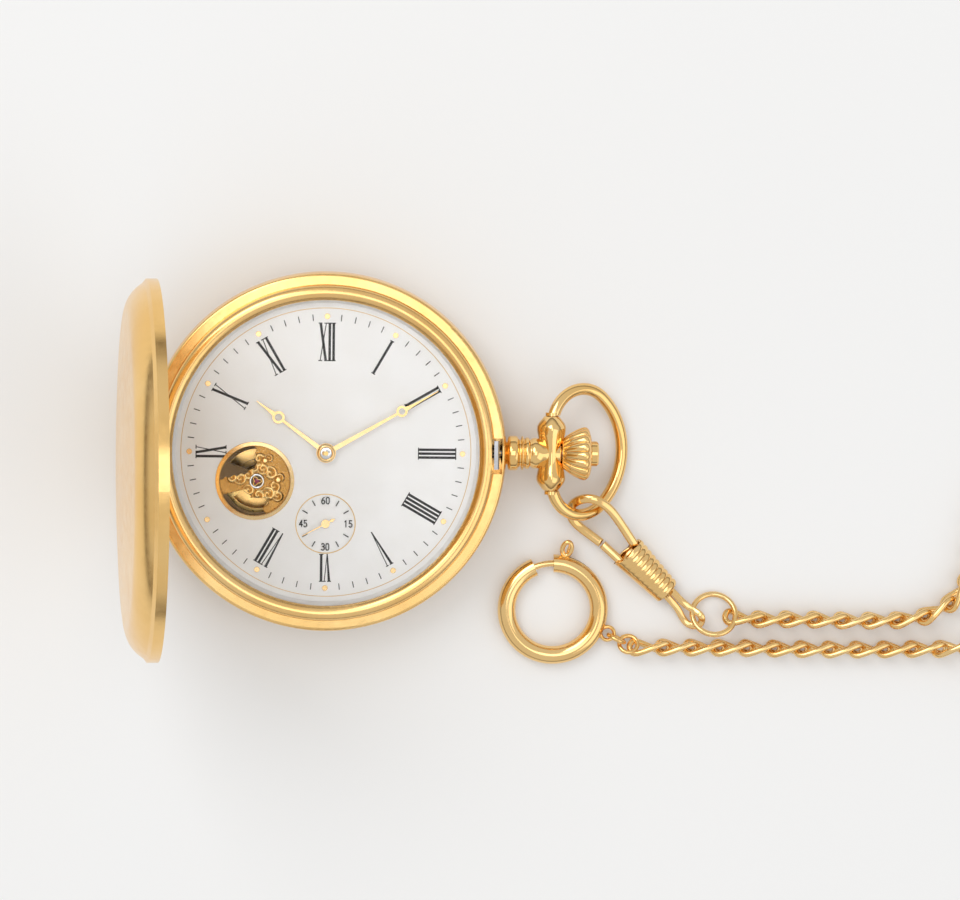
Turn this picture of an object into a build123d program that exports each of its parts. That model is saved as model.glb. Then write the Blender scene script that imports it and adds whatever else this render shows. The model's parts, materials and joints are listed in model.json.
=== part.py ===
"""Hunter pocket watch lying on its back, front cover open, with its chain.

Frame: origin on the case axis at the flat of the back, +Z along the dial's normal,
+Y towards twelve o'clock, +X towards the crown at three o'clock.  Millimetres.
"""
from build123d import *
from math import atan2, cos, degrees, pi, radians, sin, tan
import os

os.makedirs("parts", exist_ok=True)

# ---------------------------------------------------------------- driving dimensions
CASE_R = 24.0          # outside radius of the case
SEAT_Z = 9.0           # height of the seat that the front cover closes on
BAND_BOTTOM_Z = 3.2    # where the back cover meets the case band
BAND_INNER_R = 20.9    # inside radius of the case band
WALL = 0.5             # thickness of the sheet covers
BEZEL_R = 22.4         # outside radius of the raised glass bezel
OPENING_R = 20.35      # radius of the dial opening
DIAL_R = 20.2
DIAL_Z = 7.8           # underside of the dial
DIAL_THICK = 0.4
DIAL_TOP = DIAL_Z + DIAL_THICK
MOVEMENT_R = 18.3      # sixteen-and-a-half-ligne movement
LID_DEPTH = 4.75
LID_OPEN = 83.2        # opening angle of the front cover as it stands
HINGE_X = -24.0
HINGE_Y = 2.0          # middle of the hinge along Y
HINGE_LENGTH = 13.0
STEM_Z = 6.3           # height of the crown's axis
FIT = 0.05             # radial clearance of running fits

BOW_X = 30.1           # axis of the bow's pivots
BOW_WIRE_R = 0.82
BOW_DROOP = 28.0       # how far the bow hangs below the band's plane
SHOULDER_Y = 5.0       # half length of the pendant's shoulder

BALANCE = (-9.2, -3.95)
SECONDS = (0.0, -9.5)
APERTURE = (-9.43, -3.84)
APERTURE_R = 4.64

CHAIN_D = 2.85
CHAIN_Z = 1.44
COIL_CENTRE = (107.0, -13.44)
COIL_R = 18.0          # first turn of the put-away coil
COIL_PITCH = 3.05
COIL_TURNS = 1.75

VERTICAL = Axis((0, 0, 0), (0, 0, 1))
STEM_AXIS = Axis((0, 0, STEM_Z), (1, 0, 0))


# ---------------------------------------------------------------- helpers
def save(piece, name):
    """Label a finished piece and write it as its own STEP file."""
    piece.label = name
    export_step(piece, f"parts/{name}.step")


def polar(centre, radius, angle):
    """Point at a radius and an angle in degrees about a centre."""
    return (centre[0] + radius * cos(radians(angle)), centre[1] + radius * sin(radians(angle)))


def turned(points, centre=(0.0, 0.0), mode=Mode.ADD):
    """Revolve a closed (radius, height) outline about a vertical line."""
    with BuildSketch(Plane((*centre, 0), x_dir=(1, 0, 0), z_dir=(0, -1, 0))) as profile:
        with BuildLine():
            Polyline(*points, close=True)
        make_face()
    revolve(profile.sketch, axis=Axis((*centre, 0), (0, 0, 1)), mode=mode)


def disc(centre, radius, bottom, top, mode=Mode.ADD):
    """Round slab between two heights."""
    with BuildSketch(Plane.XY.offset(bottom)) as profile:
        with Locations(centre):
            Circle(radius)
    extrude(profile.sketch, amount=top - bottom, mode=mode)


def ring(centre, inner, outer, bottom, top, mode=Mode.ADD):
    """Flat ring between two heights."""
    with BuildSketch(Plane.XY.offset(bottom)) as profile:
        with Locations(centre):
            Circle(outer)
            Circle(inner, mode=Mode.SUBTRACT)
    extrude(profile.sketch, amount=top - bottom, mode=mode)


def bar(start, end, width, bottom, top, mode=Mode.ADD):
    """Round-ended flat bar between two points."""
    with BuildSketch(Plane.XY.offset(bottom)) as profile:
        with BuildLine():
            Line(start, end)
        trace(line_width=width)
        with Locations(start, end):
            Circle(width / 2)
    extrude(profile.sketch, amount=top - bottom, mode=mode)


def block(low, high, mode=Mode.ADD):
    """Square-edged block given by two corners."""
    middle = [(a + b) / 2 for a, b in zip(low, high)]
    with Locations(tuple(middle)):
        Box(high[0] - low[0], high[1] - low[1], high[2] - low[2], mode=mode)


def rod(start, end, radius, mode=Mode.ADD):
    """Round rod between two points in space."""
    along = Vector(*end) - Vector(*start)
    with BuildSketch(Plane(start, z_dir=along)) as profile:
        Circle(radius)
    extrude(profile.sketch, amount=along.length, mode=mode)


def stem_turned(points, mode=Mode.ADD):
    """Revolve a closed (x, radius) outline about the stem's axis."""
    with BuildSketch(Plane.XZ) as profile:
        with BuildLine():
            Polyline(*[(x, STEM_Z + radius) for x, radius in points], close=True)
        make_face()
    revolve(profile.sketch, axis=STEM_AXIS, mode=mode)


def gear(centre, bottom, top, teeth, module, towards, gap=False):
    """Spur wheel with slender teeth; a tooth, or a gap, faces the angle towards."""
    pitch = 360.0 / teeth
    start = towards + (pitch / 2 if gap else 0.0)
    root = module * (teeth / 2 - 1.2)
    tip = module * (teeth / 2 + 0.8)
    flank = ((-0.27, root), (-0.11, tip), (0.11, tip), (0.27, root))
    points = [polar(centre, r, start + (i + k) * pitch) for i in range(teeth) for k, r in flank]
    with BuildSketch(Plane.XY.offset(bottom)) as profile:
        with BuildLine():
            Polyline(*points, close=True)
        make_face()
    extrude(profile.sketch, amount=top - bottom)


def spokes(centre, inner, outer, bottom, top, count, width, turn=0.0):
    """Cut the web of a wheel into straight spokes."""
    with BuildSketch(Plane.XY.offset(bottom)) as profile:
        with Locations(centre):
            Circle(outer)
            Circle(inner, mode=Mode.SUBTRACT)
            for i in range(count):
                Rectangle(2 * outer, width, rotation=turn + i * 360 / count,
                          align=(Align.MIN, Align.CENTER), mode=Mode.SUBTRACT)
    extrude(profile.sketch, amount=top - bottom, mode=Mode.SUBTRACT)


def route_radii(points):
    """Largest tangent arcs that a route's runs leave room for."""
    radii = []
    for before, corner, after in zip(points, points[1:], points[2:]):
        first = Vector(*corner) - Vector(*before)
        second = Vector(*after) - Vector(*corner)
        half_turn = radians(first.get_angle(second)) / 2
        radii.append(0.45 * min(first.length, second.length) / tan(half_turn))
    return radii


def tube(points, radius):
    """Tube along straight runs joined by tangent arcs; returns the path's length."""
    with BuildLine() as path:
        FilletPolyline(*points, radius=route_radii(points))
    with BuildSketch(path.line ^ 0) as profile:
        Circle(radius)
    sweep(profile.sketch, path=path.line)
    return sum(edge.length for edge in path.line.edges())


def dome_height(radius, rim_r, rim_z, top_z):
    """Height at a radius of a spherical cap that is centred on the case axis."""
    sphere_r = (rim_r ** 2 + (top_z - rim_z) ** 2) / (2 * (top_z - rim_z))
    return top_z - sphere_r + (sphere_r ** 2 - radius ** 2) ** 0.5


def cap_arc(rim_r, rim_z, top_z, inwards=True):
    """Arc of a spherical cap between its rim and the case axis."""
    middle = (rim_r / 2, dome_height(rim_r / 2, rim_r, rim_z, top_z))
    if inwards:
        ThreePointArc((rim_r, rim_z), middle, (0, top_z))
    else:
        ThreePointArc((0, top_z), middle, (rim_r, rim_z))


def direction(start, end):
    """Angle in degrees from one point to another."""
    return degrees(atan2(end[1] - start[1], end[0] - start[0]))


def mesh_point(first, first_distance, second, second_distance, side):
    """Point at given distances from two centres, on one side of the line between them."""
    line = Vector(*second) - Vector(*first)
    along = (first_distance ** 2 - second_distance ** 2 + line.length ** 2) / (2 * line.length)
    across = side * (first_distance ** 2 - along ** 2) ** 0.5
    unit = line.normalized()
    return (first[0] + unit.X * along - unit.Y * across, first[1] + unit.Y * along + unit.X * across)


# ================================================================= case
HINGE_AXIS_Z = SEAT_Z
KNUCKLE_R = 0.95
KNUCKLE_GAP_R = KNUCKLE_R + 0.12
PIN_R = 0.4
LID_KNUCKLE = HINGE_LENGTH * 0.42     # length of the cover's knuckle, in the middle
CATCH_X = (22.3, 22.6)


def hinge_rod(radius, low, high, mode=Mode.ADD):
    """Rod along the hinge line between two distances from the hinge's middle."""
    rod((HINGE_X, HINGE_Y + low, HINGE_AXIS_Z), (HINGE_X, HINGE_Y + high, HINGE_AXIS_Z), radius, mode)


with BuildPart() as case_middle:
    with BuildSketch(Plane.XZ):
        with BuildLine():
            Line((BAND_INNER_R, BAND_BOTTOM_Z), (23.3, BAND_BOTTOM_Z))
            ThreePointArc((23.3, BAND_BOTTOM_Z), (CASE_R, 5.9), (23.85, 8.6))
            ThreePointArc((23.85, 8.6), (23.7, 8.9), (23.4, SEAT_Z))
            Line((23.4, SEAT_Z), (BEZEL_R + 0.02, SEAT_Z))
            Line((BEZEL_R + 0.02, SEAT_Z), (BEZEL_R + 0.02, 8.0))
            Line((BEZEL_R + 0.02, 8.0), (BAND_INNER_R, 8.0))
            Line((BAND_INNER_R, 8.0), (BAND_INNER_R, BAND_BOTTOM_Z))
        make_face()
    revolve(axis=VERTICAL)
    hinge_rod(KNUCKLE_R, -HINGE_LENGTH / 2, HINGE_LENGTH / 2)
    disc((0, 0), BAND_INNER_R, BAND_BOTTOM_Z, SEAT_Z + 2, mode=Mode.SUBTRACT)
    hinge_rod(KNUCKLE_GAP_R, -LID_KNUCKLE / 2 - 0.05, LID_KNUCKLE / 2 + 0.05, mode=Mode.SUBTRACT)
    hinge_rod(PIN_R, -HINGE_LENGTH / 2, HINGE_LENGTH / 2, mode=Mode.SUBTRACT)
    block((21.95, -2.6, 3.9), (23.45, 2.2, SEAT_Z + 1), mode=Mode.SUBTRACT)
    rod((20, 0, STEM_Z), (26, 0, STEM_Z), 1.5, mode=Mode.SUBTRACT)
save(case_middle.part, "case_middle")

with BuildPart() as bezel:
    with BuildSketch(Plane.XZ):
        with BuildLine():
            Line((BEZEL_R, 8.02), (BEZEL_R, 9.4))
            ThreePointArc((BEZEL_R, 9.4), (21.5, 10.35), (20.55, 9.95))
            ThreePointArc((20.55, 9.95), (20.38, 9.75), (OPENING_R, 9.55))
            Line((OPENING_R, 9.55), (20.75, 9.55))
            Line((20.75, 9.55), (20.75, 8.02))
            Line((20.75, 8.02), (BEZEL_R, 8.02))
        make_face()
    revolve(axis=VERTICAL)
    block((21.95, -2.6, 7), (23.45, 2.2, 12), mode=Mode.SUBTRACT)
save(bezel.part, "bezel")

with BuildPart() as crystal:
    with BuildSketch(Plane.XZ):
        with BuildLine():
            Line((0, 9.75), (0, 10.2))
            cap_arc(20.7, 9.53, 10.2, inwards=False)
            Line((20.7, 9.53), (20.7, 9.1))
            cap_arc(20.7, 9.1, 9.75)
        make_face()
    revolve(axis=VERTICAL)
save(crystal.part, "crystal")

with BuildPart() as dial_ring:
    turned([(19.95, DIAL_TOP), (20.7, DIAL_TOP), (20.7, 9.08), (20.3, 9.08)])
save(dial_ring.part, "dial_ring")

BACK_LAND_R = 14.0
with BuildPart() as back_cover:
    with BuildSketch(Plane.XZ):
        with BuildLine():
            Line((0, 0), (BACK_LAND_R, 0))
            ThreePointArc((BACK_LAND_R, 0), (20.3, 0.85), (23.55, 2.7))
            Line((23.55, 2.7), (23.3, BAND_BOTTOM_Z - 0.02))
            Line((23.3, BAND_BOTTOM_Z - 0.02), (20.85, BAND_BOTTOM_Z - 0.02))
            Line((20.85, BAND_BOTTOM_Z - 0.02), (20.85, 3.9))
            Line((20.85, 3.9), (20.35, 3.9))
            Line((20.35, 3.9), (20.35, 2.2))
            ThreePointArc((20.35, 2.2), (17.6, 1.0), (BACK_LAND_R, WALL))
            Line((BACK_LAND_R, WALL), (0, WALL))
            Line((0, WALL), (0, 0))
        make_face()
    revolve(axis=VERTICAL)
save(back_cover.part, "back_cover")

# The cover is drawn shut, then turned open about its hinge.
with BuildPart() as closed_cover:
    with BuildSketch(Plane.XZ):
        with BuildLine():
            Line((CASE_R, SEAT_Z + 0.03), (CASE_R, SEAT_Z + 1.35))
            Line((CASE_R, SEAT_Z + 1.35), (23.45, SEAT_Z + 1.75))
            ThreePointArc((23.45, SEAT_Z + 1.75), (22.1, SEAT_Z + 3.2), (19.4, SEAT_Z + 4.0))
            cap_arc(19.4, SEAT_Z + 4.0, SEAT_Z + LID_DEPTH)
            Line((0, SEAT_Z + LID_DEPTH), (0, SEAT_Z + LID_DEPTH - WALL))
            cap_arc(19.1, SEAT_Z + 3.5, SEAT_Z + LID_DEPTH - WALL, inwards=False)
            ThreePointArc((19.1, SEAT_Z + 3.5), (21.55, SEAT_Z + 2.8), (22.9, SEAT_Z + 1.7))
            Line((22.9, SEAT_Z + 1.7), (22.9, SEAT_Z + 0.03))
            Line((22.9, SEAT_Z + 0.03), (CASE_R, SEAT_Z + 0.03))
        make_face()
    revolve(axis=VERTICAL)
    # a hair-thin flat on each side, so the middle of the cover is a plane and not a point
    disc((0, 0), 3, SEAT_Z + LID_DEPTH - 0.003, SEAT_Z + LID_DEPTH + 1, mode=Mode.SUBTRACT)
    disc((0, 0), 0.9, SEAT_Z + LID_DEPTH - WALL - 0.003, SEAT_Z + LID_DEPTH - WALL / 2)
    ring((0, 0), 22.72, 22.95, SEAT_Z + 0.03, SEAT_Z + 0.33)
    block((22.6, -2.1, SEAT_Z + 0.33), (23.2, 2.1, SEAT_Z + 0.9), mode=Mode.SUBTRACT)
    hinge_rod(KNUCKLE_R, -LID_KNUCKLE / 2, LID_KNUCKLE / 2)
    hinge_rod(KNUCKLE_GAP_R, -HINGE_LENGTH / 2 - 0.1, -LID_KNUCKLE / 2, mode=Mode.SUBTRACT)
    hinge_rod(KNUCKLE_GAP_R, LID_KNUCKLE / 2, HINGE_LENGTH / 2 + 0.1, mode=Mode.SUBTRACT)
    hinge_rod(PIN_R + FIT, -HINGE_LENGTH / 2, HINGE_LENGTH / 2, mode=Mode.SUBTRACT)
HINGE_LINE = Axis((HINGE_X, HINGE_Y, HINGE_AXIS_Z), (0, 1, 0))
front_cover = closed_cover.part.rotate(HINGE_LINE, -LID_OPEN)
save(front_cover, "front_cover")

with BuildPart() as hinge_pin:
    hinge_rod(PIN_R, -HINGE_LENGTH / 2, HINGE_LENGTH / 2)
save(hinge_pin.part, "hinge_pin")

with BuildPart() as lid_catch:
    block((CATCH_X[0], -1.9, 4.2), (CATCH_X[1], 1.9, 9.35))
    block((CATCH_X[0], -1.9, 9.37), (23.0, 1.9, 9.7))
    chamfer(lid_catch.edges().filter_by(Axis.Y).group_by(Axis.Z)[-1].sort_by(Axis.X)[-1], 0.2)
    rod((20, 0, STEM_Z), (26, 0, STEM_Z), 0.85, mode=Mode.SUBTRACT)
save(lid_catch.part, "lid_catch")


def leaf_spring(first, last):
    """Flat spring bent round the inside of the band between two angles."""
    with BuildSketch(Plane.XY.offset(4.3)) as profile:
        with BuildLine():
            CenterArc((0, 0), 20.45, first, last - first)
        trace(line_width=0.3)
    extrude(profile.sketch, amount=1.1)


with BuildPart() as cover_spring:
    leaf_spring(120, 240)
save(cover_spring.part, "cover_spring")

with BuildPart() as catch_spring:
    leaf_spring(-70, -8)
save(catch_spring.part, "catch_spring")

# ================================================================= pendant, crown and bow
with BuildPart() as pendant:
    stem_turned([(23.5, 0), (23.5, 1.5), (24.3, 1.5), (24.3, 2.05), (24.6, 2.32), (25.5, 2.32),
                 (25.75, 1.85),
                 (26.0, 1.85), (26.15, 2.3), (26.3, 2.3), (26.4, 1.85), (26.6, 2.05), (27.1, 2.05),
                 (27.25, 1.8),
                 (27.5, 2.1), (27.9, 2.2), (28.4, 2.1), (28.8, 1.7), (31.5, 1.7), (31.5, 0)])
    for y, radius in ((0, 1.2), (1.2, 1.35), (2.6, 1.55), (3.5, 1.8), (SHOULDER_Y, 1.0)):
        with BuildSketch(Plane((BOW_X, -y, STEM_Z), x_dir=(1, 0, 0), z_dir=(0, -1, 0))):
            RegularPolygon(radius, 8, major_radius=False)
    loft(ruled=True)
    mirror(about=Plane.XZ)
    rod((23, 0, STEM_Z), (32, 0, STEM_Z), 0.78, mode=Mode.SUBTRACT)
    rod((23, 0, STEM_Z), (24.25, 0, STEM_Z), 1.28, mode=Mode.SUBTRACT)
    for side in (-1, 1):
        rod((BOW_X, side * 3.6, STEM_Z), (BOW_X, side * 6, STEM_Z), 0.5, mode=Mode.SUBTRACT)
save(pendant.part, "pendant")

CROWN_FLUTES = 18


def fluted(x, radius, depth):
    """Closed wavy outline of the crown at one distance along the stem."""
    steps = 4 * CROWN_FLUTES
    waves = [radius + depth * cos(2 * pi * k / 4) for k in range(steps)]
    points = [(r * cos(2 * pi * k / steps), r * sin(2 * pi * k / steps)) for k, r in enumerate(waves)]
    with BuildSketch(Plane((x, 0, STEM_Z), x_dir=(0, 1, 0), z_dir=(1, 0, 0))) as profile:
        with BuildLine():
            Spline(*points, periodic=True)
        make_face()
    return profile.sketch


with BuildPart() as crown:
    loft([fluted(31.6, 1.7, 0.06), fluted(33.2, 2.65, 0.12), fluted(34.85, 3.42, 0.16)])
    loft([fluted(34.85, 3.42, 0.16), fluted(35.4, 2.5, 0.07)])
    rod((31, 0, STEM_Z), (31.92, 0, STEM_Z), 1.52, mode=Mode.SUBTRACT)
    rod((31, 0, STEM_Z), (37, 0, STEM_Z), 0.7, mode=Mode.SUBTRACT)
    rod((33.7, 0, STEM_Z), (37, 0, STEM_Z), 1.75, mode=Mode.SUBTRACT)
save(crown.part, "crown")

with BuildPart() as winding_stem:
    stem_turned([(19.5, 0), (19.5, 0.7), (33.6, 0.7), (33.6, 0.4), (21.6, 0.4), (21.6, 0)])
    stem_turned([(12.0, 0), (12.0, 0.35), (12.8, 0.35), (12.8, 0.55), (19.5, 0.55), (19.5, 0)])
    block((21.9, -0.22, STEM_Z - 2), (23.35, 0.22, STEM_Z + 2), mode=Mode.SUBTRACT)
save(winding_stem.part, "winding_stem")

with BuildPart() as crown_button:
    stem_turned([(34.8, 0), (34.8, 1.68), (36.2, 1.68), (36.4, 1.45), (36.4, 0)])
    stem_turned([(22.6, 0), (22.6, 0.34), (34.9, 0.34), (34.9, 0)])
    rod((22.88, 0, STEM_Z - 1.2), (22.88, 0, STEM_Z + 1.2), 0.17)
save(crown_button.part, "crown_button")

with BuildPart() as crown_gasket:
    stem_turned([(31.62, 0.72), (31.62, 1.5), (31.9, 1.5), (31.9, 0.72)])
save(crown_gasket.part, "crown_gasket")

BOW_PLANE = Plane((BOW_X, 0, STEM_Z), x_dir=(cos(radians(BOW_DROOP)), 0, -sin(radians(BOW_DROOP))),
                  z_dir=(sin(radians(BOW_DROOP)), 0, cos(radians(BOW_DROOP))))
BOW_SIDE_ARC_R = 4.68                 # rounded sides of the oval
BOW_SIDE_CENTRE = (4.85, 3.84)
BOW_END_CENTRE = (1.39, 0.0)
BOW_END_ARC_R = BOW_SIDE_ARC_R + (Vector(*BOW_SIDE_CENTRE) - Vector(*BOW_END_CENTRE)).length
TANGENT_ANGLE = direction(BOW_END_CENTRE, BOW_SIDE_CENTRE)
TAIL_ANGLE = 163.0

with BuildPart() as bow:
    with BuildLine(BOW_PLANE) as oval:
        CenterArc(BOW_END_CENTRE, BOW_END_ARC_R, 0, TANGENT_ANGLE)
        CenterArc(BOW_SIDE_CENTRE, BOW_SIDE_ARC_R, TANGENT_ANGLE, TAIL_ANGLE - TANGENT_ANGLE)
    with BuildSketch(Plane(oval.line @ 0, z_dir=oval.line % 0)):
        Circle(BOW_WIRE_R)
    sweep(path=oval.line)
    rod((BOW_X, SHOULDER_Y, STEM_Z), (BOW_X, 5.5, STEM_Z), 0.84)
    block((BOW_X - 4, -SHOULDER_Y - 0.06, 0), (BOW_X + 2.5, SHOULDER_Y + 0.06, 12), mode=Mode.SUBTRACT)
    rod((BOW_X, 3.75, STEM_Z), (BOW_X, 5.2, STEM_Z), 0.45)
    mirror(about=Plane.XZ)
save(bow.part, "bow")

# ================================================================= dial and hands
with BuildPart() as casing_ring:
    ring((0, 0), MOVEMENT_R + 0.03, 20.2, 5.6, DIAL_Z - 0.02)
    ring((0, 0), 20.1, BAND_INNER_R - 0.02, 7.2, DIAL_Z - 0.02)
    rod((17, 0, STEM_Z), (22, 0, STEM_Z), 0.9, mode=Mode.SUBTRACT)
save(casing_ring.part, "casing_ring")

with BuildPart() as dial:
    disc((0, 0), DIAL_R, DIAL_Z, DIAL_TOP)
    disc((0, 0), 1.0, DIAL_Z, DIAL_TOP, mode=Mode.SUBTRACT)
    disc(SECONDS, 0.25, DIAL_Z, DIAL_TOP, mode=Mode.SUBTRACT)
    disc(SECONDS, 3.9, DIAL_TOP - 0.1, DIAL_TOP, mode=Mode.SUBTRACT)
    disc(APERTURE, APERTURE_R + 0.1, DIAL_Z, DIAL_TOP, mode=Mode.SUBTRACT)
save(dial.part, "dial")

with BuildPart() as hour_dots:
    with BuildSketch(Plane.XY.offset(DIAL_TOP)):
        with PolarLocations(18.14, 12):
            Circle(0.385)
    extrude(amount=0.12, taper=20)
save(hour_dots.part, "hour_dots")

with BuildPart() as aperture_ring:
    turned([(APERTURE_R, DIAL_Z), (APERTURE_R + 0.09, DIAL_Z), (APERTURE_R + 0.09, DIAL_TOP),
            (5.25, DIAL_TOP), (5.2, DIAL_TOP + 0.15), (4.75, DIAL_TOP + 0.22),
            (APERTURE_R, DIAL_TOP + 0.1)], APERTURE)
save(aperture_ring.part, "aperture_ring")

HOUR_AT = 90.0 - 306.5                # direction of each hand, from +X
MINUTE_AT = 90.0 - 60.4
SECOND_AT = 90.0 - 242.0


def clock_hand(angle, length, eye_at, eye_r, hub_r, bottom, top):
    """Breguet hand: slim tapered blade, open eye and pointed tip."""
    with BuildSketch(Plane((0, 0, bottom), x_dir=(*polar((0, 0), 1, angle), 0),
                           z_dir=(0, 0, 1))) as profile:
        with BuildLine():
            Polyline((0, 0.34), (eye_at, 0.16), (eye_at, -0.16), (0, -0.34), close=True)
        make_face()
        with BuildLine():
            Polyline((eye_at, 0.5 * eye_r), (eye_at + eye_r + 1.0, 0.16), (length, 0.04), (length, -0.04),
                     (eye_at + eye_r + 1.0, -0.16), (eye_at, -0.5 * eye_r), close=True)
        make_face()
        with Locations((eye_at, 0)):
            Circle(eye_r)
            Circle(0.58 * eye_r, mode=Mode.SUBTRACT)
        Circle(hub_r)
    extrude(profile.sketch, amount=top - bottom)


with BuildPart() as hour_hand:
    clock_hand(HOUR_AT, 11.5, 7.9, 0.83, 1.29, 8.5, 8.64)
    disc((0, 0), 0.75, 8.4, 8.7, mode=Mode.SUBTRACT)
save(hour_hand.part, "hour_hand")

with BuildPart() as minute_hand:
    clock_hand(MINUTE_AT, 17.0, 11.5, 0.75, 1.0, 8.85, 8.97)
    disc((0, 0), 0.35, 8.8, 9.1, mode=Mode.SUBTRACT)
    ring((0, 0), 0.35, 0.62, 8.97, 9.1)
save(minute_hand.part, "minute_hand")

with BuildPart() as seconds_hand:
    second_plane = Plane((*SECONDS, 8.3), x_dir=(*polar((0, 0), 1, SECOND_AT), 0), z_dir=(0, 0, 1))
    with BuildSketch(second_plane):
        with BuildLine():
            Polyline((-1.47, 0), (-1.0, 0.22), (-0.6, 0.08), (0, 0.1), (3.5, 0.03), (3.5, -0.03),
                     (0, -0.1),
                     (-0.6, -0.08), (-1.0, -0.22), close=True)
        make_face()
        Circle(0.56)
    extrude(amount=0.1)
save(seconds_hand.part, "seconds_hand")

# ================================================================= movement
PLATE_Z = (5.9, 7.3)
TRAIN_MODULE = 0.16
THIRD_MODULE = 0.14
FOURTH_MODULE = 0.105
BARREL_MODULE = 0.205
CENTRE = (0.0, 0.0)
THIRD = mesh_point(CENTRE, 45 * TRAIN_MODULE, SECONDS, 42.5 * THIRD_MODULE, 1)
BARREL_ANGLE = 55.0
BARREL = polar(CENTRE, 45 * BARREL_MODULE, BARREL_ANGLE)
LINE_ANGLE = direction(SECONDS, BALANCE)
ESCAPE = polar(SECONDS, 44 * FOURTH_MODULE, LINE_ANGLE)
PALLET = polar(ESCAPE, 2.72, LINE_ANGLE)
CROWN_WHEEL = (12.8, 0.0)
RATCHET_TEETH = 66
CROWN_WHEEL_TEETH = 40
RATCHET_ANGLE = direction(BARREL, CROWN_WHEEL)
RATCHET_REACH = (Vector(*CROWN_WHEEL) - Vector(*BARREL)).length
RATCHET_MODULE = 2 * RATCHET_REACH / (RATCHET_TEETH + CROWN_WHEEL_TEETH)
FACE_TEETH = 34        # upright teeth of the crown wheel, in mesh with the winding pinion
PINION_TEETH = 14
LEVER_POST = (12.2, 4.6)
YOKE_POST = (11.0, -5.0)

with BuildPart() as mainplate:
    disc((0, 0), MOVEMENT_R, *PLATE_Z)
    disc(CENTRE, 1.0, *PLATE_Z, mode=Mode.SUBTRACT)
    disc(BALANCE, 4.3, *PLATE_Z, mode=Mode.SUBTRACT)
    bar(polar(BALANCE, 4.6, 160), polar(BALANCE, 4.6, -20), 1.9, PLATE_Z[0] + 0.5, PLATE_Z[1])
    disc(BALANCE, 0.9, *PLATE_Z, mode=Mode.SUBTRACT)
    for centre in (THIRD, SECONDS, ESCAPE, PALLET):
        disc(centre, 0.3, *PLATE_Z, mode=Mode.SUBTRACT)
    block((11.6, -2.5, 5), (19, 2.5, 8), mode=Mode.SUBTRACT)
    for centre in (LEVER_POST, YOKE_POST):
        disc(centre, 0.32, *PLATE_Z, mode=Mode.SUBTRACT)
    disc(polar(CENTRE, 4.8, 50), 0.28, *PLATE_Z, mode=Mode.SUBTRACT)
save(mainplate.part, "mainplate")

with BuildPart() as shock_setting:
    ring(BALANCE, 0.35, 0.88, 6.6, 7.45)
    for k in range(3):
        with BuildSketch(Plane.XY.offset(7.45)):
            with Locations(polar(BALANCE, 0.4, 90 + 120 * k)):
                Circle(0.3)
                Circle(0.18, mode=Mode.SUBTRACT)
        extrude(amount=0.06)
save(shock_setting.part, "shock_setting")

with BuildPart() as train_jewels:
    disc(BALANCE, 0.34, 6.7, 7.4)
    for centre in (THIRD, SECONDS, ESCAPE, PALLET):
        ring(centre, 0.12, 0.29, 6.6, 7.2)
save(train_jewels.part, "train_jewels")

BRIDGE_Z = (2.95, 3.8)
PILLAR_Z = (BRIDGE_Z[0], PLATE_Z[0])
with BuildPart() as barrel_bridge:
    with BuildSketch(Plane.XY.offset(BRIDGE_Z[0])):
        Circle(17.9)
        Rectangle(40, 40, align=(Align.CENTER, Align.MAX), mode=Mode.SUBTRACT)
        with Locations((-9.0, 0)):
            Rectangle(22, 5.0, mode=Mode.SUBTRACT)
    extrude(amount=BRIDGE_Z[1] - BRIDGE_Z[0])
    disc(BARREL, 0.85, *BRIDGE_Z, mode=Mode.SUBTRACT)
    disc(CROWN_WHEEL, 2.0, *BRIDGE_Z)
    disc(CROWN_WHEEL, 1.0, *BRIDGE_Z, mode=Mode.SUBTRACT)
    for angle in (18, 152):
        disc(polar(CENTRE, 16.6, angle), 1.1, *PILLAR_Z)
save(barrel_bridge.part, "barrel_bridge")

with BuildPart() as train_bridge:
    with BuildSketch(Plane.XY.offset(BRIDGE_Z[0])):
        Circle(17.9)
        Rectangle(40, 20, align=(Align.CENTER, Align.MIN), mode=Mode.SUBTRACT)
        with Locations(BALANCE):
            Circle(6.0, mode=Mode.SUBTRACT)
        with Locations((-14, -2)):
            Rectangle(10, 12, mode=Mode.SUBTRACT)
        with Locations((12, -1)):
            Rectangle(14, 5.2, mode=Mode.SUBTRACT)
    extrude(amount=BRIDGE_Z[1] - BRIDGE_Z[0])
    disc(CENTRE, 0.5, *BRIDGE_Z, mode=Mode.SUBTRACT)
    for centre in (THIRD, SECONDS, ESCAPE):
        disc(centre, 0.17, *BRIDGE_Z, mode=Mode.SUBTRACT)
    for angle in (-25, -115):
        disc(polar(CENTRE, 16.6, angle), 1.1, *PILLAR_Z)
save(train_bridge.part, "train_bridge")

with BuildPart() as balance_cock:
    bar(BALANCE, polar(BALANCE, 6.6, 195), 2.2, 2.35, 2.95)
    disc(polar(BALANCE, 6.6, 195), 1.1, 2.35, PLATE_Z[0])
    disc(BALANCE, 1.5, 2.35, 2.95)
    disc(BALANCE, 0.2, 2.35, 2.95, mode=Mode.SUBTRACT)
save(balance_cock.part, "balance_cock")

with BuildPart() as pallet_bridge:
    side = LINE_ANGLE + 90
    bar(polar(PALLET, 2.9, side), polar(PALLET, 2.9, side + 180), 1.0, 4.3, 4.6)
    disc(PALLET, 0.13, 4.3, 4.6, mode=Mode.SUBTRACT)
    for turn in (side, side + 180):
        disc(polar(PALLET, 2.9, turn), 0.5, 4.3, PLATE_Z[0])
save(pallet_bridge.part, "pallet_bridge")

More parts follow.
